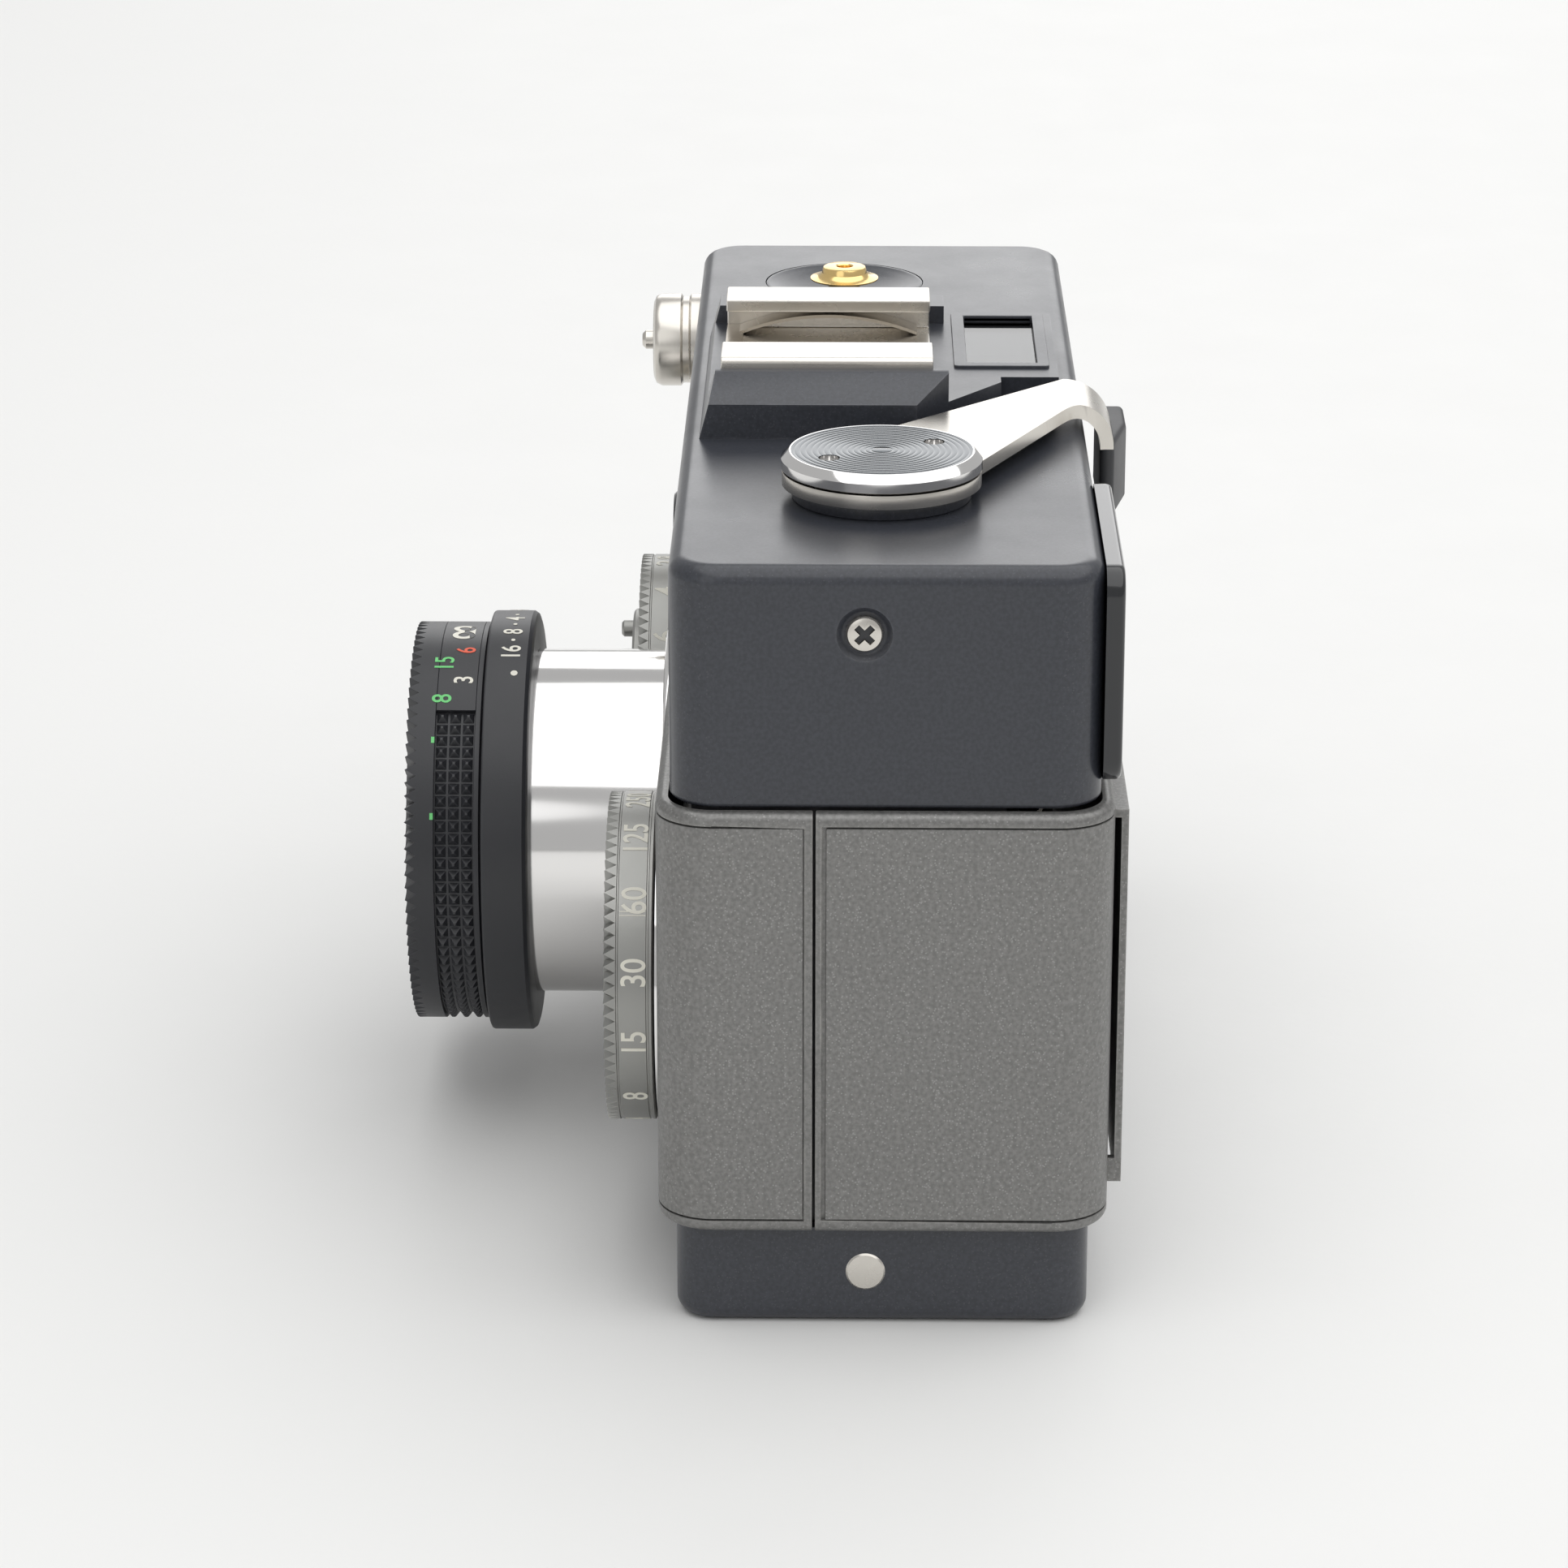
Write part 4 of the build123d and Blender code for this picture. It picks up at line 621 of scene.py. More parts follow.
class CAMERA_OT_finishes(bpy.types.Operator):
    """Make every finish and lay it on the nodes of the model"""

    bl_idname = "film_camera.finishes"
    bl_label = "Finishes"

    def execute(self, context):
        tint = context.scene.camera_finishes
        painted("black_paint", tint.black, 0.31, 6500.0, 0.0025 * MM, bare=tint.worn, wear=0.6,
                flake=(0.055, 0.058, 0.068), share=0.12, flake_scale=6500.0, coat=0.12)
        painted("grey_paint", tint.grey, 0.38, 5200.0, 0.009 * MM, bare=(0.42, 0.41, 0.39), wear=0.6,
                flake=tint.flake, share=0.12, flake_scale=6500.0, metallic=0.55)
        painted("grey_skin", tint.grey, 0.44, 4600.0, 0.016 * MM, flake=tint.flake, share=0.14,
                flake_scale=6000.0, metallic=0.5)
        painted("lens_black", tint.anodised, 0.40, 6500.0, 0.006 * MM, bare=(0.10, 0.10, 0.11), wear=0.4,
                width=0.12 * MM)
        painted("gloss_black", (0.010, 0.011, 0.013), 0.12, 1500.0, 0.002 * MM, bare=(0.07, 0.07, 0.08),
                wear=0.3, width=0.12 * MM, coat=0.4)
        painted("black_plastic", tint.plastic, 0.48, 4200.0, 0.012 * MM)
        painted("dial_grey", tint.dial, 0.38, 5200.0, 0.006 * MM, bare=(0.62, 0.61, 0.58), wear=0.7,
                width=0.10 * MM, metallic=0.85)
        painted("cast_alloy", (0.10, 0.10, 0.105), 0.55, 2400.0, 0.03 * MM, metallic=0.3)
        painted("white_fill", tint.white_fill, 0.5, 4000.0, 0.004 * MM)
        painted("green_fill", tint.green_fill, 0.5, 4000.0, 0.004 * MM)
        painted("red_fill", tint.red_fill, 0.5, 4000.0, 0.004 * MM)
        metal("nickel", tint.nickel, 0.27, marks=(1.0, 1.0, 1.0), scale=5200.0, depth=0.0008 * MM)
        metal("chrome", tint.chrome, 0.09, spread=0.015, marks=(0.05, 1.0, 0.05), scale=5200.0,
              depth=0.0001 * MM)
        # Chrome with a very dark tint for the cap's face: painted dark reflection, as of a dark room.
        metal("cap_dark_reflection_chrome", (0.09, 0.10, 0.11), 0.11, spread=0.03, marks=(1.0, 1.0, 0.0), scale=5200.0,
              depth=0.0003 * MM, centre=Room("lever_cap").middle)
        metal("steel", (0.48, 0.47, 0.46), 0.32, marks=(0.1, 1.0, 1.0))
        metal("spring_steel", (0.58, 0.53, 0.46), 0.25, marks=(1.0, 0.1, 1.0))
        metal("gold", tint.gold, 0.18, scale=5200.0, depth=0.0004 * MM)
        clear("glass", (0.70, 0.77, 0.80))
        clear("smoked_glass", (0.12, 0.13, 0.14))
        rows = {row["node"]: row["material_slot"] for row in frame["record"]["subparts"]}
        for name, node in frame["nodes"].items():
            if not node.material_slots:
                node.data.materials.append(None)
            node.material_slots[0].material = material(rows[name])
        frame["nodes"]["meter_window"].material_slots[0].material = material("smoked_glass")
        return {"FINISHED"}


# Pieces of the body

def outer_band(room, inset, rim):
    """Solid of the middle section, drawn in by an inset."""
    low = Vector((room.low.x + inset, body.low.y + inset, room.low.z))
    high = Vector((room.high.x - inset, body.high.y - inset, room.high.z))
    shapes = bpy.context.scene.camera_shapes
    return slab(low, high, shapes.body_corner - inset, rim, rim)


class Body:
    """Outer limits of the middle section."""

    low = Vector((Room("front_shell").low.x, Room("front_shell").low.y, Room("front_shell").low.z))
    high = Vector((Room("back_cover").high.x, Room("back_cover").high.y, Room("back_cover").high.z))


body = Body()
far = 200 * MM


def half_space(seam, front):
    """Large box on one side of the seam."""
    if front:
        return block((-far, -far, -far), (far, seam, far))
    return block((-far, seam, -far), (far, far, far))


def shell_half(node, panel, front):
    """Front shell or back cover: walls with a shallow bed for the skin."""
    room, skin = Room(node), Room(panel)
    shapes = bpy.context.scene.camera_shapes
    wall = 0.9 * MM
    solid = outer_band(room, 0, shapes.body_rim)
    lower = Vector((room.low.x + wall, body.low.y + wall, room.low.z - 1 * MM))
    upper = Vector((room.high.x - wall, body.high.y - wall, room.high.z + 1 * MM))
    hollow = slab(lower, upper, shapes.body_corner - wall)
    groove = 0.10 * MM
    seam_groove = groove if front else 0.30 * MM
    bed_low = Vector((room.low.x - MM, body.low.y - MM, skin.low.z - groove))
    bed_high = Vector((room.high.x + MM, body.high.y + MM, skin.high.z + groove))
    bed = block(bed_low, bed_high)
    core = slab(Vector((room.low.x + 0.3 * MM, body.low.y + 0.3 * MM, bed_low.z - MM)),
                Vector((room.high.x - 0.3 * MM, body.high.y - 0.3 * MM, bed_high.z + MM)),
                shapes.body_corner - 0.3 * MM)
    bed = carved(bed, core)
    skin_seam = (skin.high.y + seam_groove) if front else (skin.low.y - seam_groove)
    bed = combined("INTERSECT", bed, half_space(skin_seam, front))
    seam = room.high.y if front else room.low.y
    band = carved(solid, hollow, bed)
    band = combined("INTERSECT", band, half_space(seam, front))
    if front:
        band = carved(band, disc(lens_axis, "Y", 14.45 * MM, room.low.y - MM, room.low.y + 2 * MM))
        for side in (-1, 1):
            shaft = Vector((side * 30 * MM, 0, 21.5 * MM))
            band = carved(band, disc(shaft, "Y", 2.3 * MM, room.low.y - MM, room.low.y + 2 * MM))
    bmesh.ops.remove_doubles(band, verts=band.verts, dist=WELD)
    rims = [e for e in creases(band) if level(e, skin.low.z - groove) or level(e, skin.high.z + groove)
            or all(abs(v.co.y - seam) < WELD for v in e.verts)]
    return softened(band, 0.09 * MM, 2, rims)


def skin_half(node, front):
    """Skin laid in the bed of one half."""
    skin = Room(node)
    shapes = bpy.context.scene.camera_shapes
    outer = slab(Vector((skin.low.x, body.low.y, skin.low.z)), Vector((skin.high.x, body.high.y, skin.high.z)),
                 shapes.body_corner)
    inner = slab(Vector((skin.low.x + 0.28 * MM, body.low.y + 0.28 * MM, skin.low.z - MM)),
                 Vector((skin.high.x - 0.28 * MM, body.high.y - 0.28 * MM, skin.high.z + MM)),
                 shapes.body_corner - 0.28 * MM)
    band = carved(outer, inner)
    band = combined("INTERSECT", band, half_space(skin.high.y if front else skin.low.y, front))
    if front:
        band = carved(band, disc(lens_axis, "Y", 15.2 * MM, body.low.y - MM, body.low.y + 2 * MM))
        for side in (-1, 1):
            shaft = Vector((side * 30 * MM, 0, 21.5 * MM))
            band = carved(band, disc(shaft, "Y", 2.3 * MM, body.low.y - MM, body.low.y + 2 * MM))
    bmesh.ops.remove_doubles(band, verts=band.verts, dist=WELD)
    return softened(band, shapes.panel_edge, 2)


class CAMERA_OT_body(bpy.types.Operator):
    """Build the grey middle section with its skins, studs and film box holder"""

    bl_idname = "film_camera.body"
    bl_label = "Body"

    def execute(self, context):
        piece("front_shell_skin", shell_half("front_shell", "front_panel", True), "root", "grey_paint",
              ["front_shell"])
        piece("back_cover_shell", shell_half("back_cover", "back_panel", False), "back", "grey_paint",
              ["back_cover"])
        piece("front_skin", skin_half("front_panel", True), "root", "grey_skin", ["front_panel"])
        piece("back_skin", skin_half("back_panel", False), "back", "grey_skin", ["back_panel"])
        holder = Room("memo_holder")
        lip = 0.6 * MM
        plate = block(holder.low, holder.high)
        gap = block((holder.low.x + lip, holder.low.y - MM, holder.low.z - MM),
                    (holder.high.x - lip, holder.high.y - 0.5 * MM, holder.high.z - lip))
        plate = carved(plate, gap)
        for x in (holder.low.x, holder.high.x):
            side = block((x - lip - 0.01 * MM, holder.low.y - MM, holder.low.z + 3 * lip),
                         (x + lip + 0.01 * MM, holder.high.y - 0.5 * MM, holder.high.z - lip))
            plate = carved(plate, side)
        piece("memo_plate", softened(plate, 0.12 * MM, 2), "back", "grey_paint", ["memo_holder"])
        studs = Room("base_studs")
        for label, end, way in (("near", studs.high.x, 1), ("far", studs.low.x, -1)):
            face = end - way * 0.22 * MM
            dome = spun([(0, face - way * MM), (1.3 * MM, face - way * MM), (1.4 * MM, face),
                         (1.28 * MM, face + way * 0.11 * MM), (0.9 * MM, face + way * 0.18 * MM),
                         (0, end)], studs.middle, "X", 48)
            piece("base_stud_" + label, dome, "root", "nickel",
                  ["base_studs"] if way > 0 else ())
        return {"FINISHED"}


# Pieces of the top

def moved(x, y, z):
    """Point given in millimetres."""
    return Vector((x, y, z)) * MM


def top_shell():
    """Pressed cover of the top with its openings."""
    room = Room("top_plate")
    shapes = bpy.context.scene.camera_shapes
    cover = slab(room.low, room.high, shapes.top_corner, shapes.top_rim, 0.4 * MM)
    wall = 0.9 * MM
    hollow = slab(room.low + Vector((wall, wall, -MM)), room.high - Vector((wall, wall, MM)),
                  shapes.top_corner - wall)
    finder = Room("eyepiece_glass")
    well = block((finder.low.x, room.low.y - MM, finder.low.z), (finder.high.x, room.high.y + MM, finder.high.z))
    meter = Room("meter_window")
    window = block((meter.low.x, meter.low.y, room.high.z - 3 * MM), (meter.high.x, meter.high.y, far))
    lever, dish = Room("lever_collar"), Room("release_dish")
    cover = carved(cover, hollow, well, window,
                   disc(lever.middle, "Z", 2.1 * MM, room.high.z - 3 * MM, far),
                   disc(dish.middle, "Z", dish.size.x / 2 + 0.02 * MM, room.high.z - 3 * MM, far),
                   disc(Room("light_cell").middle, "Y", 2.6 * MM, room.low.y - MM, room.low.y + 2 * MM),
                   disc(Room("sync_terminal").middle, "Y", 2.6 * MM, room.low.y - MM, room.low.y + 2 * MM))
    screws = Room("top_plate_screws")
    for end, way in ((room.high.x, 1), (room.low.x, -1)):
        dimple = spun([(0, end - way * 3 * MM), (0.82 * MM, end - way * 3 * MM), (0.82 * MM, end - way * 0.5 * MM),
                       (1.45 * MM, end - way * 0.5 * MM), (1.62 * MM, end - way * 0.42 * MM),
                       (1.95 * MM, end + way * 0.02 * MM), (2.1 * MM, end + way * MM), (0, end + way * MM)],
                      screws.middle, "X", 64)
        cover = carved(cover, dimple)
    return cleaned(cover)


def screw_recess_shade(end, way):
    """Dark plate set deep in the screw's cross recess: painted shade of the recess."""
    middle = Room("top_plate_screws").middle
    bars = []
    for turn in (45, -45):
        half = Vector((0.05 * MM, 0.22 * MM, 0.74 * MM))
        mid = Vector((end - way * 0.3 * MM, middle.y, middle.z))
        bar = block(mid - half, mid + half)
        bmesh.ops.rotate(bar, verts=bar.verts, cent=mid, matrix=Matrix.Rotation(math.radians(turn), 3, "X"))
        bars.append(bar)
    return welded(*bars)


def screw(end, way):
    """Cross-head screw at one end of the top plate."""
    middle = Room("top_plate_screws").middle
    seat = end - way * 0.6 * MM
    head = spun([(0, seat - way * 2.2 * MM), (0.8 * MM, seat - way * 2.2 * MM), (0.8 * MM, seat),
                 (1.27 * MM, seat), (1.27 * MM, seat + way * 0.30 * MM), (1.16 * MM, seat + way * 0.46 * MM),
                 (0.92 * MM, seat + way * 0.56 * MM), (0, end)], middle, "X", 64)
    for turn in (45, -45):
        half = Vector((MM, 0.24 * MM, 0.78 * MM))
        mid = Vector((end + way * 0.55 * MM, middle.y, middle.z))
        slot = block(mid - half, mid + half)
        bmesh.ops.rotate(slot, verts=slot.verts, cent=mid, matrix=Matrix.Rotation(math.radians(turn), 3, "X"))
        head = carved(head, slot)
    return cleaned(head)


def deck():
    """Raised deck that carries the shoe, with its guards."""
    room = Room("shoe_deck")
    top = room.low.z + 2 * MM
    outline = [(14.9, -13.7), (14.9, 2.35), (11.6, 4.75), (5.9, 8.8), (4.4, 8.8), (4.4, 13.2),
               (-15.4, 13.2), (-15.4, -13.7)]
    plan = [(x * MM, y * MM) for x, y in outline]
    plate = extruded(plan, room.low.z, top)
    slope = [(14.9, 55.5), (14.9, 59.1), (11.6, 60.7), (10.5, 60.7), (10.5, 55.5)]
    guard = extruded([(x * MM, z * MM) for x, z in slope], room.low.y, 4.75 * MM, "Y")
    guard = combined("INTERSECT", guard, extruded(plan, room.low.z, room.high.z))
    rail = block((room.low.x, room.low.y, room.low.z), (-11.9 * MM, 4.75 * MM, room.low.z + 3.4 * MM))
    shoe, meter = Room("accessory_shoe"), Room("meter_window")
    pocket = block((shoe.low.x, shoe.low.y, shoe.low.z), (shoe.high.x, shoe.high.y, far))
    window = block((meter.low.x, meter.low.y, room.low.z - MM), (meter.high.x, meter.high.y, far))
    whole = carved(welded(plate, guard, rail), pocket, window)
    lean = 1.1 * MM
    side = [(room.low.y - MM, room.low.z - MM), (room.low.y - MM, room.high.z + MM),
            (room.low.y + lean, room.high.z + MM), (room.low.y + lean, room.high.z), (room.low.y, room.low.z),
            (room.low.y, room.low.z - MM)]
    whole = carved(whole, extruded(side, room.low.x - MM, room.high.x + MM, "X"))
    bmesh.ops.triangulate(whole, faces=[face for face in whole.faces if len(face.verts) > 4])
    cleaned(whole)
    edges = [e for e in creases(whole) if max(v.co.z for v in e.verts) > room.low.z + WELD]
    return softened(whole, 0.12 * MM, 2, edges)


def shoe_body():
    """Accessory shoe with its two lips."""
    room = Room("accessory_shoe")
    left, right, low, high = room.low.x, room.high.x, room.low.z, room.high.z
    wall, lip, floor, slot = 1.85 * MM, 0.9 * MM, 0.6 * MM, 4.9 * MM
    profile = [(left, low), (right, low), (right, high), (right - slot, high), (right - slot, high - lip),
               (right - wall, high - lip), (right - wall, low + floor), (left + wall, low + floor),
               (left + wall, high - lip), (left + slot, high - lip), (left + slot, high), (left, high)]
    rails = extruded(profile, room.low.y, room.high.y, "Y")
    outer = [e for e in rails.edges if all(abs(v.co.z - high) < WELD for v in e.verts)
             and (all(abs(v.co.x - left) < WELD for v in e.verts) or all(abs(v.co.x - right) < WELD for v in e.verts))]
    softened(rails, 0.45 * MM, 5, outer)
    return softened(rails, 0.12 * MM, 2)


def window_border():
    """Raised border round the meter window."""
    meter = Room("meter_window")
    deck_top = Room("shoe_deck").low.z + 2 * MM
    edge = 1.0 * MM
    outer = block((meter.low.x - edge, meter.low.y - edge, deck_top - 0.3 * MM),
                  (meter.high.x + edge, meter.high.y + 0.9 * MM, deck_top + 0.22 * MM))
    opening = block((meter.low.x, meter.low.y, 0), (meter.high.x, meter.high.y, far))
    return softened(carved(softened(outer, 0.4 * MM, 4, [e for e in outer.edges if upright(e)]), opening),
                    0.1 * MM, 2)


def eyepiece():
    """Glossy frame of the eyepiece with a bevelled opening."""
    room, glass = Room("eyepiece_frame"), Room("eyepiece_glass")
    plate = block(room.low, room.high)
    corners = [e for e in plate.edges if abs((e.verts[0].co - e.verts[1].co).normalized().y) > 0.99]
    softened(plate, 2 * MM, 8, corners)
    rear = [e for e in creases(plate) if all(abs(v.co.y - room.high.y) < WELD for v in e.verts)]
    softened(plate, 0.45 * MM, 4, rear)
    cleaned(plate)
    funnel = bmesh.new()
    rows = []
    for place, grow in ((room.low.y - MM, -0.2), (room.high.y - 0.7 * MM, -0.2), (room.high.y + 0.01 * MM, 0.6),
                        (room.high.y + MM, 0.6)):
        low_x, high_x = glass.low.x - grow * MM, glass.high.x + grow * MM
        low_z, high_z = glass.low.z - grow * MM, glass.high.z + grow * MM
        rows.append([funnel.verts.new(point) for point in ((low_x, place, low_z), (high_x, place, low_z),
                                                           (high_x, place, high_z), (low_x, place, high_z))])
    for first, second in zip(rows, rows[1:]):
        for index in range(4):
            following = (index + 1) % 4
            funnel.faces.new((first[index], first[following], second[following], second[index]))
    funnel.faces.new(rows[0])
    funnel.faces.new(rows[-1])
    return cleaned(carved(plate, cleaned(funnel)))


class CAMERA_OT_top(bpy.types.Operator):
    """Build the black top with its deck, shoe, meter window, eyepiece and fittings"""

    bl_idname = "film_camera.top"
    bl_label = "Top"

    def execute(self, context):
        piece("top_shell", top_shell(), "root", "black_paint", ["top_plate"])
        ends = Room("top_plate_screws")
        piece("screw_near", screw(ends.high.x, 1), "root", "nickel", ["top_plate_screws"])
        piece("screw_far", screw(ends.low.x, -1), "root", "nickel")
        # Black plates in the screw recesses: painted shade of the deep cross recesses.
        piece("screw_recess_shade_near", screw_recess_shade(ends.high.x, 1), "root", "black_plastic")
        piece("screw_recess_shade_far", screw_recess_shade(ends.low.x, -1), "root", "black_plastic")
        piece("deck", deck(), "root", "black_paint", ["shoe_deck"])
        piece("shoe", shoe_body(), "root", "nickel", ["accessory_shoe"])
        piece("meter_border", window_border(), "root", "black_paint")
        scale = Room("meter_scale")
        for label, left, right, finish in (("orange", -13.4, -11.6, "red_fill"), ("cream", -11.5, -10.6, "white_fill"),
                                           ("rule", -10.0, 0.6, "white_fill")):
            near = scale.high.y - (1.0 if label == "rule" else 5.6) * MM
            band = block((left * MM, near, scale.high.z - 0.02 * MM),
                         (right * MM, scale.high.y - 0.8 * MM, scale.high.z + 0.03 * MM))
            piece("meter_mark_" + label, band, "root", finish)
        piece("eyepiece_rim", eyepiece(), "root", "gloss_black", ["eyepiece_frame"])
        cell = Room("light_cell")
        front = cell.low.y
        bezel = spun([(0, front + 0.9 * MM), (1.9 * MM, front + 0.9 * MM), (2.3 * MM, front + 0.25 * MM),
                      (2.7 * MM, front), (3.4 * MM, front), (3.6 * MM, front + 0.22 * MM),
                      (3.6 * MM, front + 0.6 * MM), (2.58 * MM, front + 0.6 * MM), (2.58 * MM, cell.high.y),
                      (0, cell.high.y)], cell.middle, "Y")
        piece("light_cell_ring", bezel, "root", "gloss_black", ["light_cell"])
        plug = Room("sync_terminal")
        face = plug.low.y + MM
        wall = plug.low.y + 5.2 * MM
        socket = spun([(0, plug.low.y + 0.1 * MM), (0.5 * MM, plug.low.y), (0.8 * MM, plug.low.y + 0.3 * MM),
                       (0.8 * MM, face + 2 * MM), (2.0 * MM, face + 2 * MM), (2.0 * MM, face + 0.2 * MM),
                       (2.2 * MM, face), (3.2 * MM, face), (3.66 * MM, face + 0.2 * MM), (3.9 * MM, face + 0.7 * MM),
                       (3.9 * MM, face + 2.3 * MM), (3.65 * MM, face + 2.5 * MM), (3.65 * MM, face + 3 * MM),
                       (3.9 * MM, face + 3.2 * MM), (3.9 * MM, wall), (2.58 * MM, wall), (2.58 * MM, plug.high.y),
                       (0, plug.high.y)], plug.middle, "Y")
        piece("sync_socket", socket, "root", "nickel", ["sync_terminal"])
        dish = Room("release_dish")
        base, rim = dish.low.z, dish.high.z
        bowl = [(1.37 * MM, base), (6.5 * MM, base), (6.5 * MM, rim - 0.16 * MM), (6.44 * MM, rim - 0.04 * MM),
                (6.36 * MM, rim), (6.2 * MM, rim), (6.1 * MM, rim - 0.04 * MM)]
        for step in range(11, 2, -1):
            radius = 6.1 * step / 12
            bowl.append((radius * MM, rim - 1.1 * (1 - (radius / 6.1) ** 2) * MM))
        bowl.append((1.37 * MM, rim - 1.06 * MM))
        piece("dish", spun(bowl, dish.middle, "Z"), "root", "black_paint", ["release_dish"])
        button = Room("release_button")
        top = button.high.z
        foot = top - 1.15 * MM
        stop = base - 1.1 * MM
        knob = spun([(0, button.low.z), (1.3 * MM, button.low.z), (1.3 * MM, stop), (2.5 * MM, stop),
                     (2.5 * MM, stop + 0.8 * MM), (1.3 * MM, stop + 0.8 * MM), (1.3 * MM, foot), (2.6 * MM, foot),
                     (2.8 * MM, foot + 0.08 * MM), (2.8 * MM, foot + 0.18 * MM), (2.35 * MM, foot + 0.28 * MM),
                     (2.02 * MM, foot + 0.44 * MM), (1.86 * MM, foot + 0.62 * MM), (1.8 * MM, top - 0.25 * MM),
                     (1.72 * MM, top - 0.07 * MM), (1.55 * MM, top), (0.75 * MM, top), (0.62 * MM, top - 0.1 * MM),
                     (0.4 * MM, top - 2.3 * MM), (0, top - 2.3 * MM)], button.middle, "Z", 72)
        piece("button", knob, "release", "gold", ["release_button"])
        collar = Room("lever_collar")
        hoop = ring(collar.middle, "Z", 6.4 * MM, 2.1 * MM, collar.low.z, collar.high.z)
        piece("collar", softened(hoop, 0.15 * MM, 2), "root", "black_paint", ["lever_collar"])
        return {"FINISHED"}


# Advance lever

class CAMERA_OT_lever(bpy.types.Operator):
    """Build the advance lever with its cap and thumb pad"""

    bl_idname = "film_camera.lever"
    bl_label = "Advance lever"

    def execute(self, context):
        arm, cap, pad = Room("advance_lever"), Room("lever_cap"), Room("lever_thumb_pad")
        top, under = arm.high.z, arm.high.z - MM
        bend, drop = 2.6 * MM, arm.low.z
        bend_y, bend_z = arm.high.y - MM - bend, under - bend
        path = [(-far, under), (-far, top)]
        for step in range(0, 17):
            turn = math.pi / 2 * (1 - step / 16)
            path.append((bend_y + (bend + MM) * math.cos(turn), bend_z + (bend + MM) * math.sin(turn)))
        path += [(arm.high.y, drop), (arm.high.y - MM, drop)]
        for step in range(16, -1, -1):
            turn = math.pi / 2 * (1 - step / 16)
            path.append((bend_y + bend * math.cos(turn), bend_z + bend * math.sin(turn)))
        strip = extruded(path, arm.low.x - MM, arm.high.x + MM, "X")
        plan = [(24.8, -5.3), (29.8, -6.0), (35.6, -0.3), (31.8, 5.0), (14.2, 13.05), (13.3, 13.5), (12.5, 14.0),
                (11.9, 14.5), (11.45, 15.1), (11.15, 15.8), (11.03, 16.5), (11.0, 17.6), (4.9, 17.6), (4.9, 13.5)]
        shape = extruded([(x * MM, y * MM) for x, y in plan], drop - MM, top + MM)
        hub = disc(cap.middle, "Z", 7.1 * MM, drop - MM, top + MM, 128)
        shape = combined("INTERSECT", strip, welded(shape, hub))
        shape = carved(softened(cleaned(shape), 0.12 * MM, 2), disc(cap.middle, "Z", 2.03 * MM, drop, top + MM, 64))
        piece("lever_arm", cleaned(shape), "lever", "nickel", ["advance_lever"])
        high, low = cap.high.z, cap.low.z
        rim = cap.size.x / 2
        profile = [(0, low), (rim - 0.1 * MM, low), (rim, low + 0.1 * MM), (rim, high - 0.56 * MM),
                   (rim - 0.05 * MM, high - 0.5 * MM), (rim - 0.5 * MM, high - 0.05 * MM), (rim - 0.58 * MM, high),
                   (rim - 0.69 * MM, high), (rim - 0.7 * MM, high - 0.06 * MM), (0, high - 0.06 * MM)]
        face = [(0, high - 0.3 * MM), (rim - 0.71 * MM, high - 0.3 * MM), (rim - 0.71 * MM, high)]
        radius = rim - 0.9 * MM
        while radius > 0.6 * MM:
            face += [(radius, high), (radius - 0.05 * MM, high - 0.022 * MM), (radius - 0.1 * MM, high)]
            radius -= 0.42 * MM
        face.append((0, high))
        top_cap, top_face = spun(profile, cap.middle, "Z", 128), spun(face, cap.middle, "Z", 128)
        for side in (-1, 1):
            spot = cap.middle + Vector((-side * math.sin(math.radians(30)), side * math.cos(math.radians(30)), 0)) * 4.3 * MM
            top_cap = carved(top_cap, disc(spot, "Z", 0.75 * MM, high - 0.5 * MM, high + MM, 40))
            top_face = carved(top_face, disc(spot, "Z", 0.77 * MM, high - 0.5 * MM, high + MM, 40))
        piece("cap", cleaned(top_cap), "lever", "chrome", ["lever_cap"])
        # The cap's face takes the darkened chrome: painted dark reflection beside the bright chrome rim.
        piece("cap_face", cleaned(top_face), "lever", "cap_dark_reflection_chrome")
        slack = 0.01 * MM
        wedge = [(pad.low.x, pad.low.y), (pad.high.x, pad.low.y), (pad.high.x, arm.high.y + slack),
                 (5.5 * MM, pad.high.y), (pad.low.x, pad.high.y)]
        grip = softened(extruded(wedge, pad.low.z, pad.high.z), 0.45 * MM, 5)
        seat = block((arm.low.x - slack, arm.high.y - MM - far, arm.low.z - slack),
                     (pad.high.x + MM, arm.high.y + slack, far))
        piece("thumb_pad", cleaned(carved(grip, seat)), "lever", "black_plastic",
              ["lever_thumb_pad"])
        return {"FINISHED"}


# Lens

def wrapped(text, middle, radius, place, degrees, height):
    """Figures wrapped round a ring on the Y axis."""
    depth = bpy.context.scene.camera_shapes.figure_depth
    return bent_round(figures(text, height, depth), middle, radius, place, math.radians(degrees))


def tick(middle, radius, low, high, degrees, width):
    """Short line along a ring on the Y axis."""
    depth = bpy.context.scene.camera_shapes.figure_depth
    mark = block((-width / 2, -(high - low) / 2, -depth), (width / 2, (high - low) / 2, depth))
    return bent_round(mark, middle, radius, (low + high) / 2, math.radians(degrees))


def dotted(middle, radius, place, degrees, size):
    """Round dot on a ring on the Y axis."""
    depth = bpy.context.scene.camera_shapes.figure_depth
    dot = disc(Vector((0, 0, 0)), "Z", size, -depth, depth, 24)
    return bent_round(dot, middle, radius, place, math.radians(degrees))


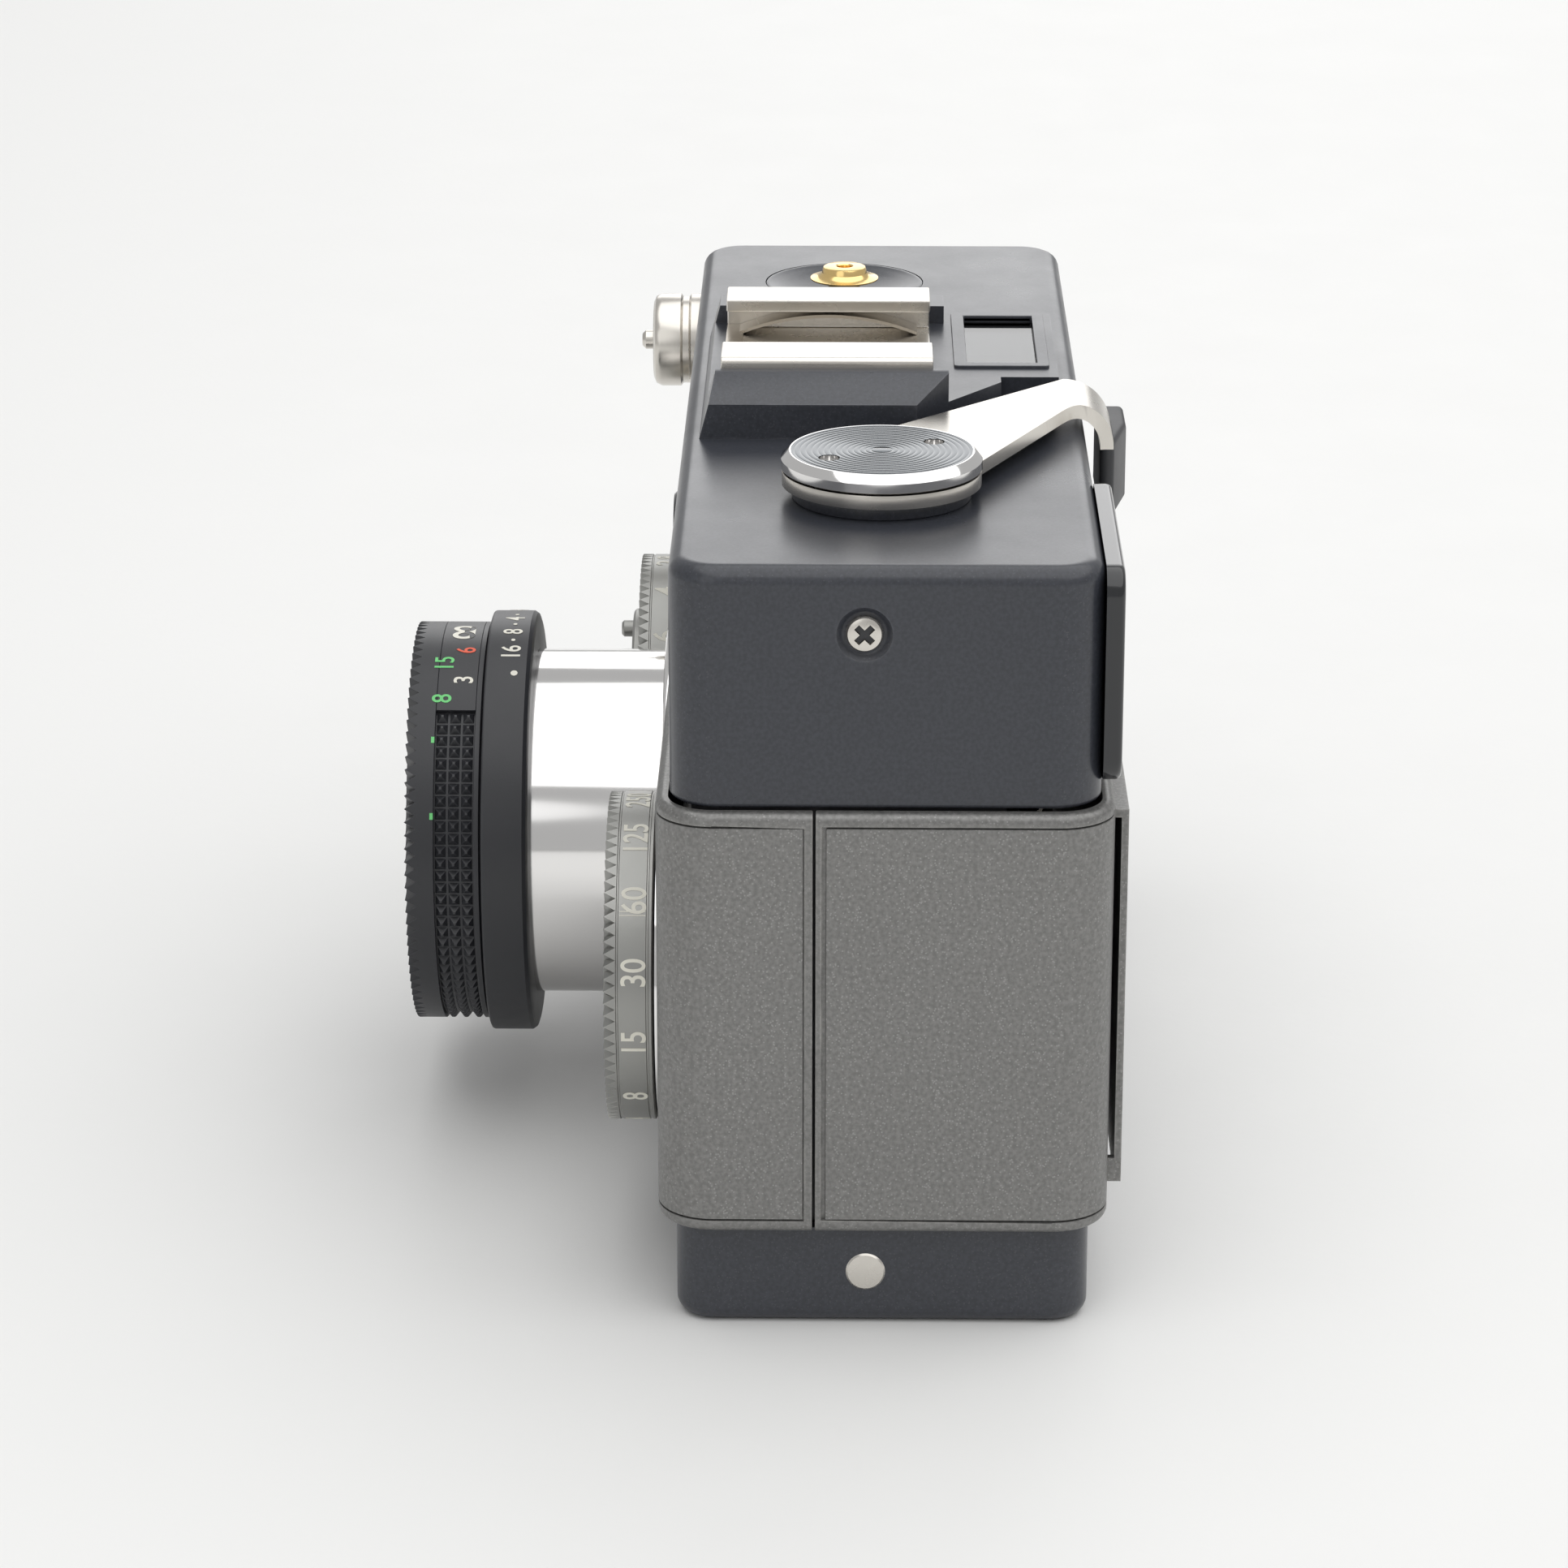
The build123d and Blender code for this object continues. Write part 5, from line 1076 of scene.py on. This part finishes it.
class CAMERA_OT_lens(bpy.types.Operator):
    """Build the collapsible barrel, the rings of the lens head and their figures"""

    bl_idname = "film_camera.lens"
    bl_label = "Lens"

    def execute(self, context):
        shapes = context.scene.camera_shapes
        flange, tube = Room("lens_flange"), Room("lens_barrel")
        front = flange.low.y
        collar = spun([(13.65 * MM, front + 0.1 * MM), (13.8 * MM, front), (15.25 * MM, front),
                       (15.5 * MM, front + 0.12 * MM), (15.6 * MM, front + 0.36 * MM), (15.6 * MM, front + 0.8 * MM),
                       (14.38 * MM, front + 0.8 * MM), (14.38 * MM, flange.high.y), (13.65 * MM, flange.high.y)],
                      lens_axis, "Y", 160)
        piece("flange", collar, "root", "chrome", ["lens_flange"])
        sleeve = ring(lens_axis, "Y", 13.5 * MM, 12.7 * MM, tube.low.y, tube.high.y, 192)
        piece("barrel_sleeve", softened(sleeve, 0.1 * MM, 2), "barrel", "chrome", ["lens_barrel"])
        depth = Room("depth_ring")
        rear, nose = depth.high.y, depth.low.y
        outer = spun([(13.52 * MM, rear), (15.9 * MM, rear), (16.3 * MM, rear - 0.12 * MM), (16.5 * MM, rear - 0.4 * MM),
                      (16.5 * MM, nose + 0.2 * MM), (16.44 * MM, nose + 0.06 * MM), (16.3 * MM, nose),
                      (13.52 * MM, nose)], lens_axis, "Y", 192)
        piece("scale_ring", outer, "barrel", "lens_black", ["depth_ring"])
        radius = depth.size.x / 2
        place = (rear + nose) / 2 + 0.1 * MM
        stops = [wrapped(text, lens_axis, radius, place, degrees, 1.5 * MM)
                 for text, degrees in (("16", 71), ("8", 81.5), ("4", 91), ("4", 109), ("8", 118.5), ("16", 129))]
        stops += [dotted(lens_axis, radius, place + 0.1 * MM, degrees, 0.16 * MM)
                  for degrees in (76.8, 86.4, 95.4, 104.6, 113.6, 123.2)]
        piece("stop_figures", gathered(*stops), "barrel", "white_fill")
        piece("index_dot", dotted(lens_axis, radius, rear - 1.3 * MM, 62.5, 0.27 * MM), "barrel", "white_fill")
        ringed = Room("focus_ring")
        radius, nose, rear = ringed.size.x / 2, ringed.low.y, ringed.high.y
        tooth, bite = 0.85 * MM, 1.5 * MM
        bore, bed = 13.2 * MM, radius - 0.42 * MM
        groove_front, groove_rear = -34.07 * MM, -31.05 * MM
        crest = [both(bore, rear), both(radius - 0.2 * MM, rear), both(radius, rear - 0.12 * MM),
                 both(radius, groove_rear + 0.04 * MM), both(radius - 0.04 * MM, groove_rear), both(bed, groove_rear),
                 both(bed, groove_front), both(radius - 0.04 * MM, groove_front),
                 both(radius, groove_front - 0.04 * MM), both(radius, nose + tooth + 0.1 * MM),
                 ((radius, nose + 0.06 * MM), (radius, nose + tooth)),
                 ((radius - 0.06 * MM, nose), (radius - 0.3 * MM, nose + tooth * 0.93)),
                 ((radius - bite, nose), (radius - bite, nose + 0.30 * MM)),
                 both(radius - bite - 0.35 * MM, nose + 0.02 * MM), both(bore + 0.2 * MM, nose),
                 both(bore, nose + 0.2 * MM)]
        piece("focus_body", wheel(lens_axis, crest, shapes.ring_teeth), "focus", "lens_black",
              ["focus_ring"])
        columns = [(-33.56 + 0.995 * index) * MM for index in range(3)]
        grip = studded(lens_axis, bed, columns, 0.95 * MM, math.radians(51.9), math.radians(-189.9), 0.95 * MM,
                       0.42 * MM)
        piece("focus_grip", grip, "focus", "lens_black")
        band = sector(lens_axis, radius, bed - 0.02 * MM, groove_front + 0.01 * MM, groove_rear - 0.01 * MM, 52, 170)
        piece("focus_scale", softened(band, 0.05 * MM, 2), "focus", "lens_black")
        for label, finish, rows in (
                ("feet", "green_fill", (("8", 56, -33.7, 1.5), ("15", 70, -33.7, 1.5), ("5", -197, -33.7, 1.5))),
                ("metres", "white_fill", (("3", 63, -32.13, 1.5), ("\u221e", 89, -32.5, 3.0),
                                          ("1.5", -197, -32.13, 1.5))),
                ("snap", "red_fill", (("6", 76.5, -32.15, 1.5),))):
            marks = [wrapped(text, lens_axis, radius, place * MM, degrees, height * MM)
                     for text, degrees, place, height in rows]
            if label == "feet":
                marks += [tick(lens_axis, radius, -34.35 * MM, -34.1 * MM, degrees, 0.5 * MM)
                          for degrees in (42.5, 20.5)]
            piece("focus_figures_" + label, gathered(*marks), "focus", finish)
        bezel = Room("front_bezel")
        nose = bezel.low.y
        cell = [(7.0 * MM, nose + 0.9 * MM), (7.98 * MM, nose + 0.42 * MM)]
        for step in range(9):
            radius = 8.3 + 0.42 * step
            cell += [(radius * MM, nose + (0.42 - 0.045 * step) * MM),
                     ((radius + 0.3) * MM, nose + (0.40 - 0.045 * step) * MM),
                     ((radius + 0.34) * MM, nose + (0.50 - 0.045 * step) * MM)]
        cell += [(12.1 * MM, nose), (12.65 * MM, nose), (12.8 * MM, nose + 0.15 * MM), (12.8 * MM, nose + 0.8 * MM),
                 (11.4 * MM, nose + 0.8 * MM), (11.4 * MM, bezel.high.y), (8.0 * MM, bezel.high.y),
                 (8.0 * MM, nose + 2.9 * MM), (7.0 * MM, nose + 2.9 * MM)]
        piece("front_cell_ring", spun(cell, lens_axis, "Y", 128), "front_cell", "lens_black",
              ["front_bezel"])
        return {"FINISHED"}


# Front dials

class CAMERA_OT_dials(bpy.types.Operator):
    """Build the two front dials with their figures and the film speed disc"""

    bl_idname = "film_camera.dials"
    bl_label = "Dials"

    def execute(self, context):
        teeth = context.scene.camera_shapes.dial_teeth
        for node, moving, labels in (
                ("speed_dial", "speed_dial", (("500", 117), ("250", 91.5), ("125", 65.5), ("60", 40), ("30", 15),
                                              ("15", -10.5), ("8", -36.5), ("4", -62), ("2", -88), ("B", -113))),
                ("aperture_dial", "aperture_dial", (("2.8", 90), ("4", 65), ("5.6", 39), ("8", 14), ("11", -12),
                                                    ("16", -37), ("22", -62)))):
            room = Room(node)
            spot = Vector((room.middle.x, 0, room.middle.z))
            radius, nose = room.size.x / 2, room.low.y
            rear = nose + 3.55 * MM
            tooth = 0.86 * MM
            rows = [both(2.0 * MM, room.high.y), both(2.0 * MM, rear), both(radius - 0.2 * MM, rear),
                    both(radius, rear - 0.12 * MM), both(radius, rear - 0.3 * MM),
                    both(radius - 0.07 * MM, rear - 0.36 * MM), both(radius - 0.07 * MM, rear - 0.46 * MM),
                    both(radius, rear - 0.52 * MM), both(radius, nose + tooth + 0.22 * MM),
                    both(radius - 0.08 * MM, nose + tooth + 0.16 * MM), both(radius - 0.08 * MM, nose + tooth + 0.08 * MM),
                    both(radius, nose + tooth + 0.02 * MM),
                    ((radius, nose + 0.06 * MM), (radius - 0.02 * MM, nose + tooth)),
                    ((radius - 0.1 * MM, nose), (radius - 0.2 * MM, nose + tooth * 0.85)),
                    ((radius - 0.9 * MM, nose), (radius - 0.9 * MM, nose + 0.1 * MM)),
                    both(radius - 1.1 * MM, nose + 0.02 * MM), both(radius - 2.2 * MM, nose),
                    both(radius - 2.3 * MM, nose + 0.12 * MM), both(radius - 2.7 * MM, nose + 0.12 * MM),
                    both(radius - 2.8 * MM, nose), both(0.9 * MM, nose), both(0.8 * MM, nose + 0.1 * MM),
                    both(0.8 * MM, room.high.y)]
            piece(node + "_wheel", wheel(spot, rows, teeth), moving, "dial_grey", [node])
            place = (rear + nose + tooth) / 2 - 0.05 * MM
            marks = [wrapped(text, spot, radius, place, degrees, 1.8 * MM) for text, degrees in labels]
            if node == "speed_dial":
                marks += [tick(spot, radius, nose + tooth + 0.3 * MM, rear - 0.55 * MM, degrees, 0.07 * MM)
                          for degrees in (34.7, 36.1)]
            piece(node + "_figures", gathered(*marks), moving, "white_fill")
        speed = Room("film_speed_disc")
        spot = Vector((speed.middle.x, 0, speed.middle.z))
        face = speed.high.y - 0.65 * MM
        plate = spun([(0, face), (5.4 * MM, face), (5.5 * MM, face + 0.1 * MM), (5.8 * MM, face + 0.1 * MM),
                      (5.9 * MM, face), (7.2 * MM, face), (7.4 * MM, face + 0.2 * MM), (7.4 * MM, speed.high.y),
                      (0, speed.high.y)], spot, "Y")
        knob = spot + Vector((0, 0, 6.0 * MM))
        tab = spun([(0, speed.low.y), (0.5 * MM, speed.low.y), (0.7 * MM, speed.low.y + 0.2 * MM),
                    (0.7 * MM, face + 0.3 * MM), (0, face + 0.3 * MM)], knob, "Y", 32)
        piece("speed_disc", welded(plate, tab), "film_speed", "dial_grey", ["film_speed_disc"])
        return {"FINISHED"}


# Stage

class CAMERA_OT_stage(bpy.types.Operator):
    """Build the floor, the soft light and the viewer's camera"""

    bl_idname = "film_camera.stage"
    bl_label = "Stage"

    def execute(self, context):
        choice = context.scene.camera_stage
        ground = bmesh.new()
        bmesh.ops.create_grid(ground, x_segments=1, y_segments=1, size=6)
        mesh = bpy.data.meshes.new("floor")
        ground.to_mesh(mesh)
        ground.free()
        floor = bpy.data.objects.new("floor", mesh)
        bpy.context.scene.collection.objects.link(floor)
        mesh.materials.append(painted("floor", choice.floor, 0.65, 900.0, 0.02 * MM))
        world = bpy.data.worlds.new("surroundings")
        world.use_nodes = True
        world.node_tree.nodes["Background"].inputs["Color"].default_value = (*choice.sky, 1)
        context.scene.world = world
        aim = Vector((0, 0, 30 * MM))
        for name, spot, size, power in (
                ("key", (0.10, 0.20, 0.80), 1.6, choice.key), ("fill", (0.9, -0.4, 0.45), 0.7, choice.fill),
                ("back", (-0.85, 0.05, 0.36), 0.6, choice.back)):
            light = bpy.data.lights.new(name, "AREA")
            light.shape = "DISK"
            light.size = size
            light.energy = power
            lamp = bpy.data.objects.new(name, light)
            lamp.location = spot
            lamp.rotation_euler = (aim - Vector(spot)).to_track_quat("-Z", "Y").to_euler()
            bpy.context.scene.collection.objects.link(lamp)
        eye = bpy.data.cameras.new("viewer")
        eye.sensor_width = 36
        eye.lens = 117.17
        viewer = bpy.data.objects.new("viewer", eye)
        viewer.location = (0.37862, -0.00247, 0.15761)
        pitch, turn = math.radians(19.401), math.radians(-0.782)
        ahead = Vector((-math.cos(pitch) * math.cos(turn), math.cos(pitch) * math.sin(turn), -math.sin(pitch)))
        viewer.rotation_euler = ahead.to_track_quat("-Z", "Y").to_euler()
        bpy.context.scene.collection.objects.link(viewer)
        context.scene.camera = viewer
        context.scene.view_settings.view_transform = "Standard"
        return {"FINISHED"}


class CAMERA_PT_panel(bpy.types.Panel):
    """Sidebar panel of the film camera"""

    bl_idname = "CAMERA_PT_panel"
    bl_label = "Film camera"
    bl_space_type = "VIEW_3D"
    bl_region_type = "UI"
    bl_category = "Film camera"

    def draw(self, context):
        for group in (context.scene.camera_finishes, context.scene.camera_shapes, context.scene.camera_stage):
            for name in group.__annotations__:
                self.layout.prop(group, name)
        for operator in STEPS:
            self.layout.operator(operator.bl_idname)


STEPS = (CAMERA_OT_finishes, CAMERA_OT_body, CAMERA_OT_top, CAMERA_OT_lever, CAMERA_OT_lens,
         CAMERA_OT_dials, CAMERA_OT_stage)
CLASSES = (CameraFinishes, CameraShapes, CameraStage, CAMERA_PT_panel, *STEPS)


def register():
    for item in CLASSES:
        bpy.utils.register_class(item)
    bpy.types.Scene.camera_finishes = PointerProperty(type=CameraFinishes)
    bpy.types.Scene.camera_shapes = PointerProperty(type=CameraShapes)
    bpy.types.Scene.camera_stage = PointerProperty(type=CameraStage)


def unregister():
    del bpy.types.Scene.camera_finishes
    del bpy.types.Scene.camera_shapes
    del bpy.types.Scene.camera_stage
    for item in reversed(CLASSES):
        bpy.utils.unregister_class(item)


def main():
    register()
    bpy.ops.film_camera.finishes()
    bpy.ops.film_camera.body()
    bpy.ops.film_camera.top()
    bpy.ops.film_camera.lever()
    bpy.ops.film_camera.lens()
    bpy.ops.film_camera.dials()
    bpy.ops.film_camera.stage()


if __name__ == "__main__":
    main()
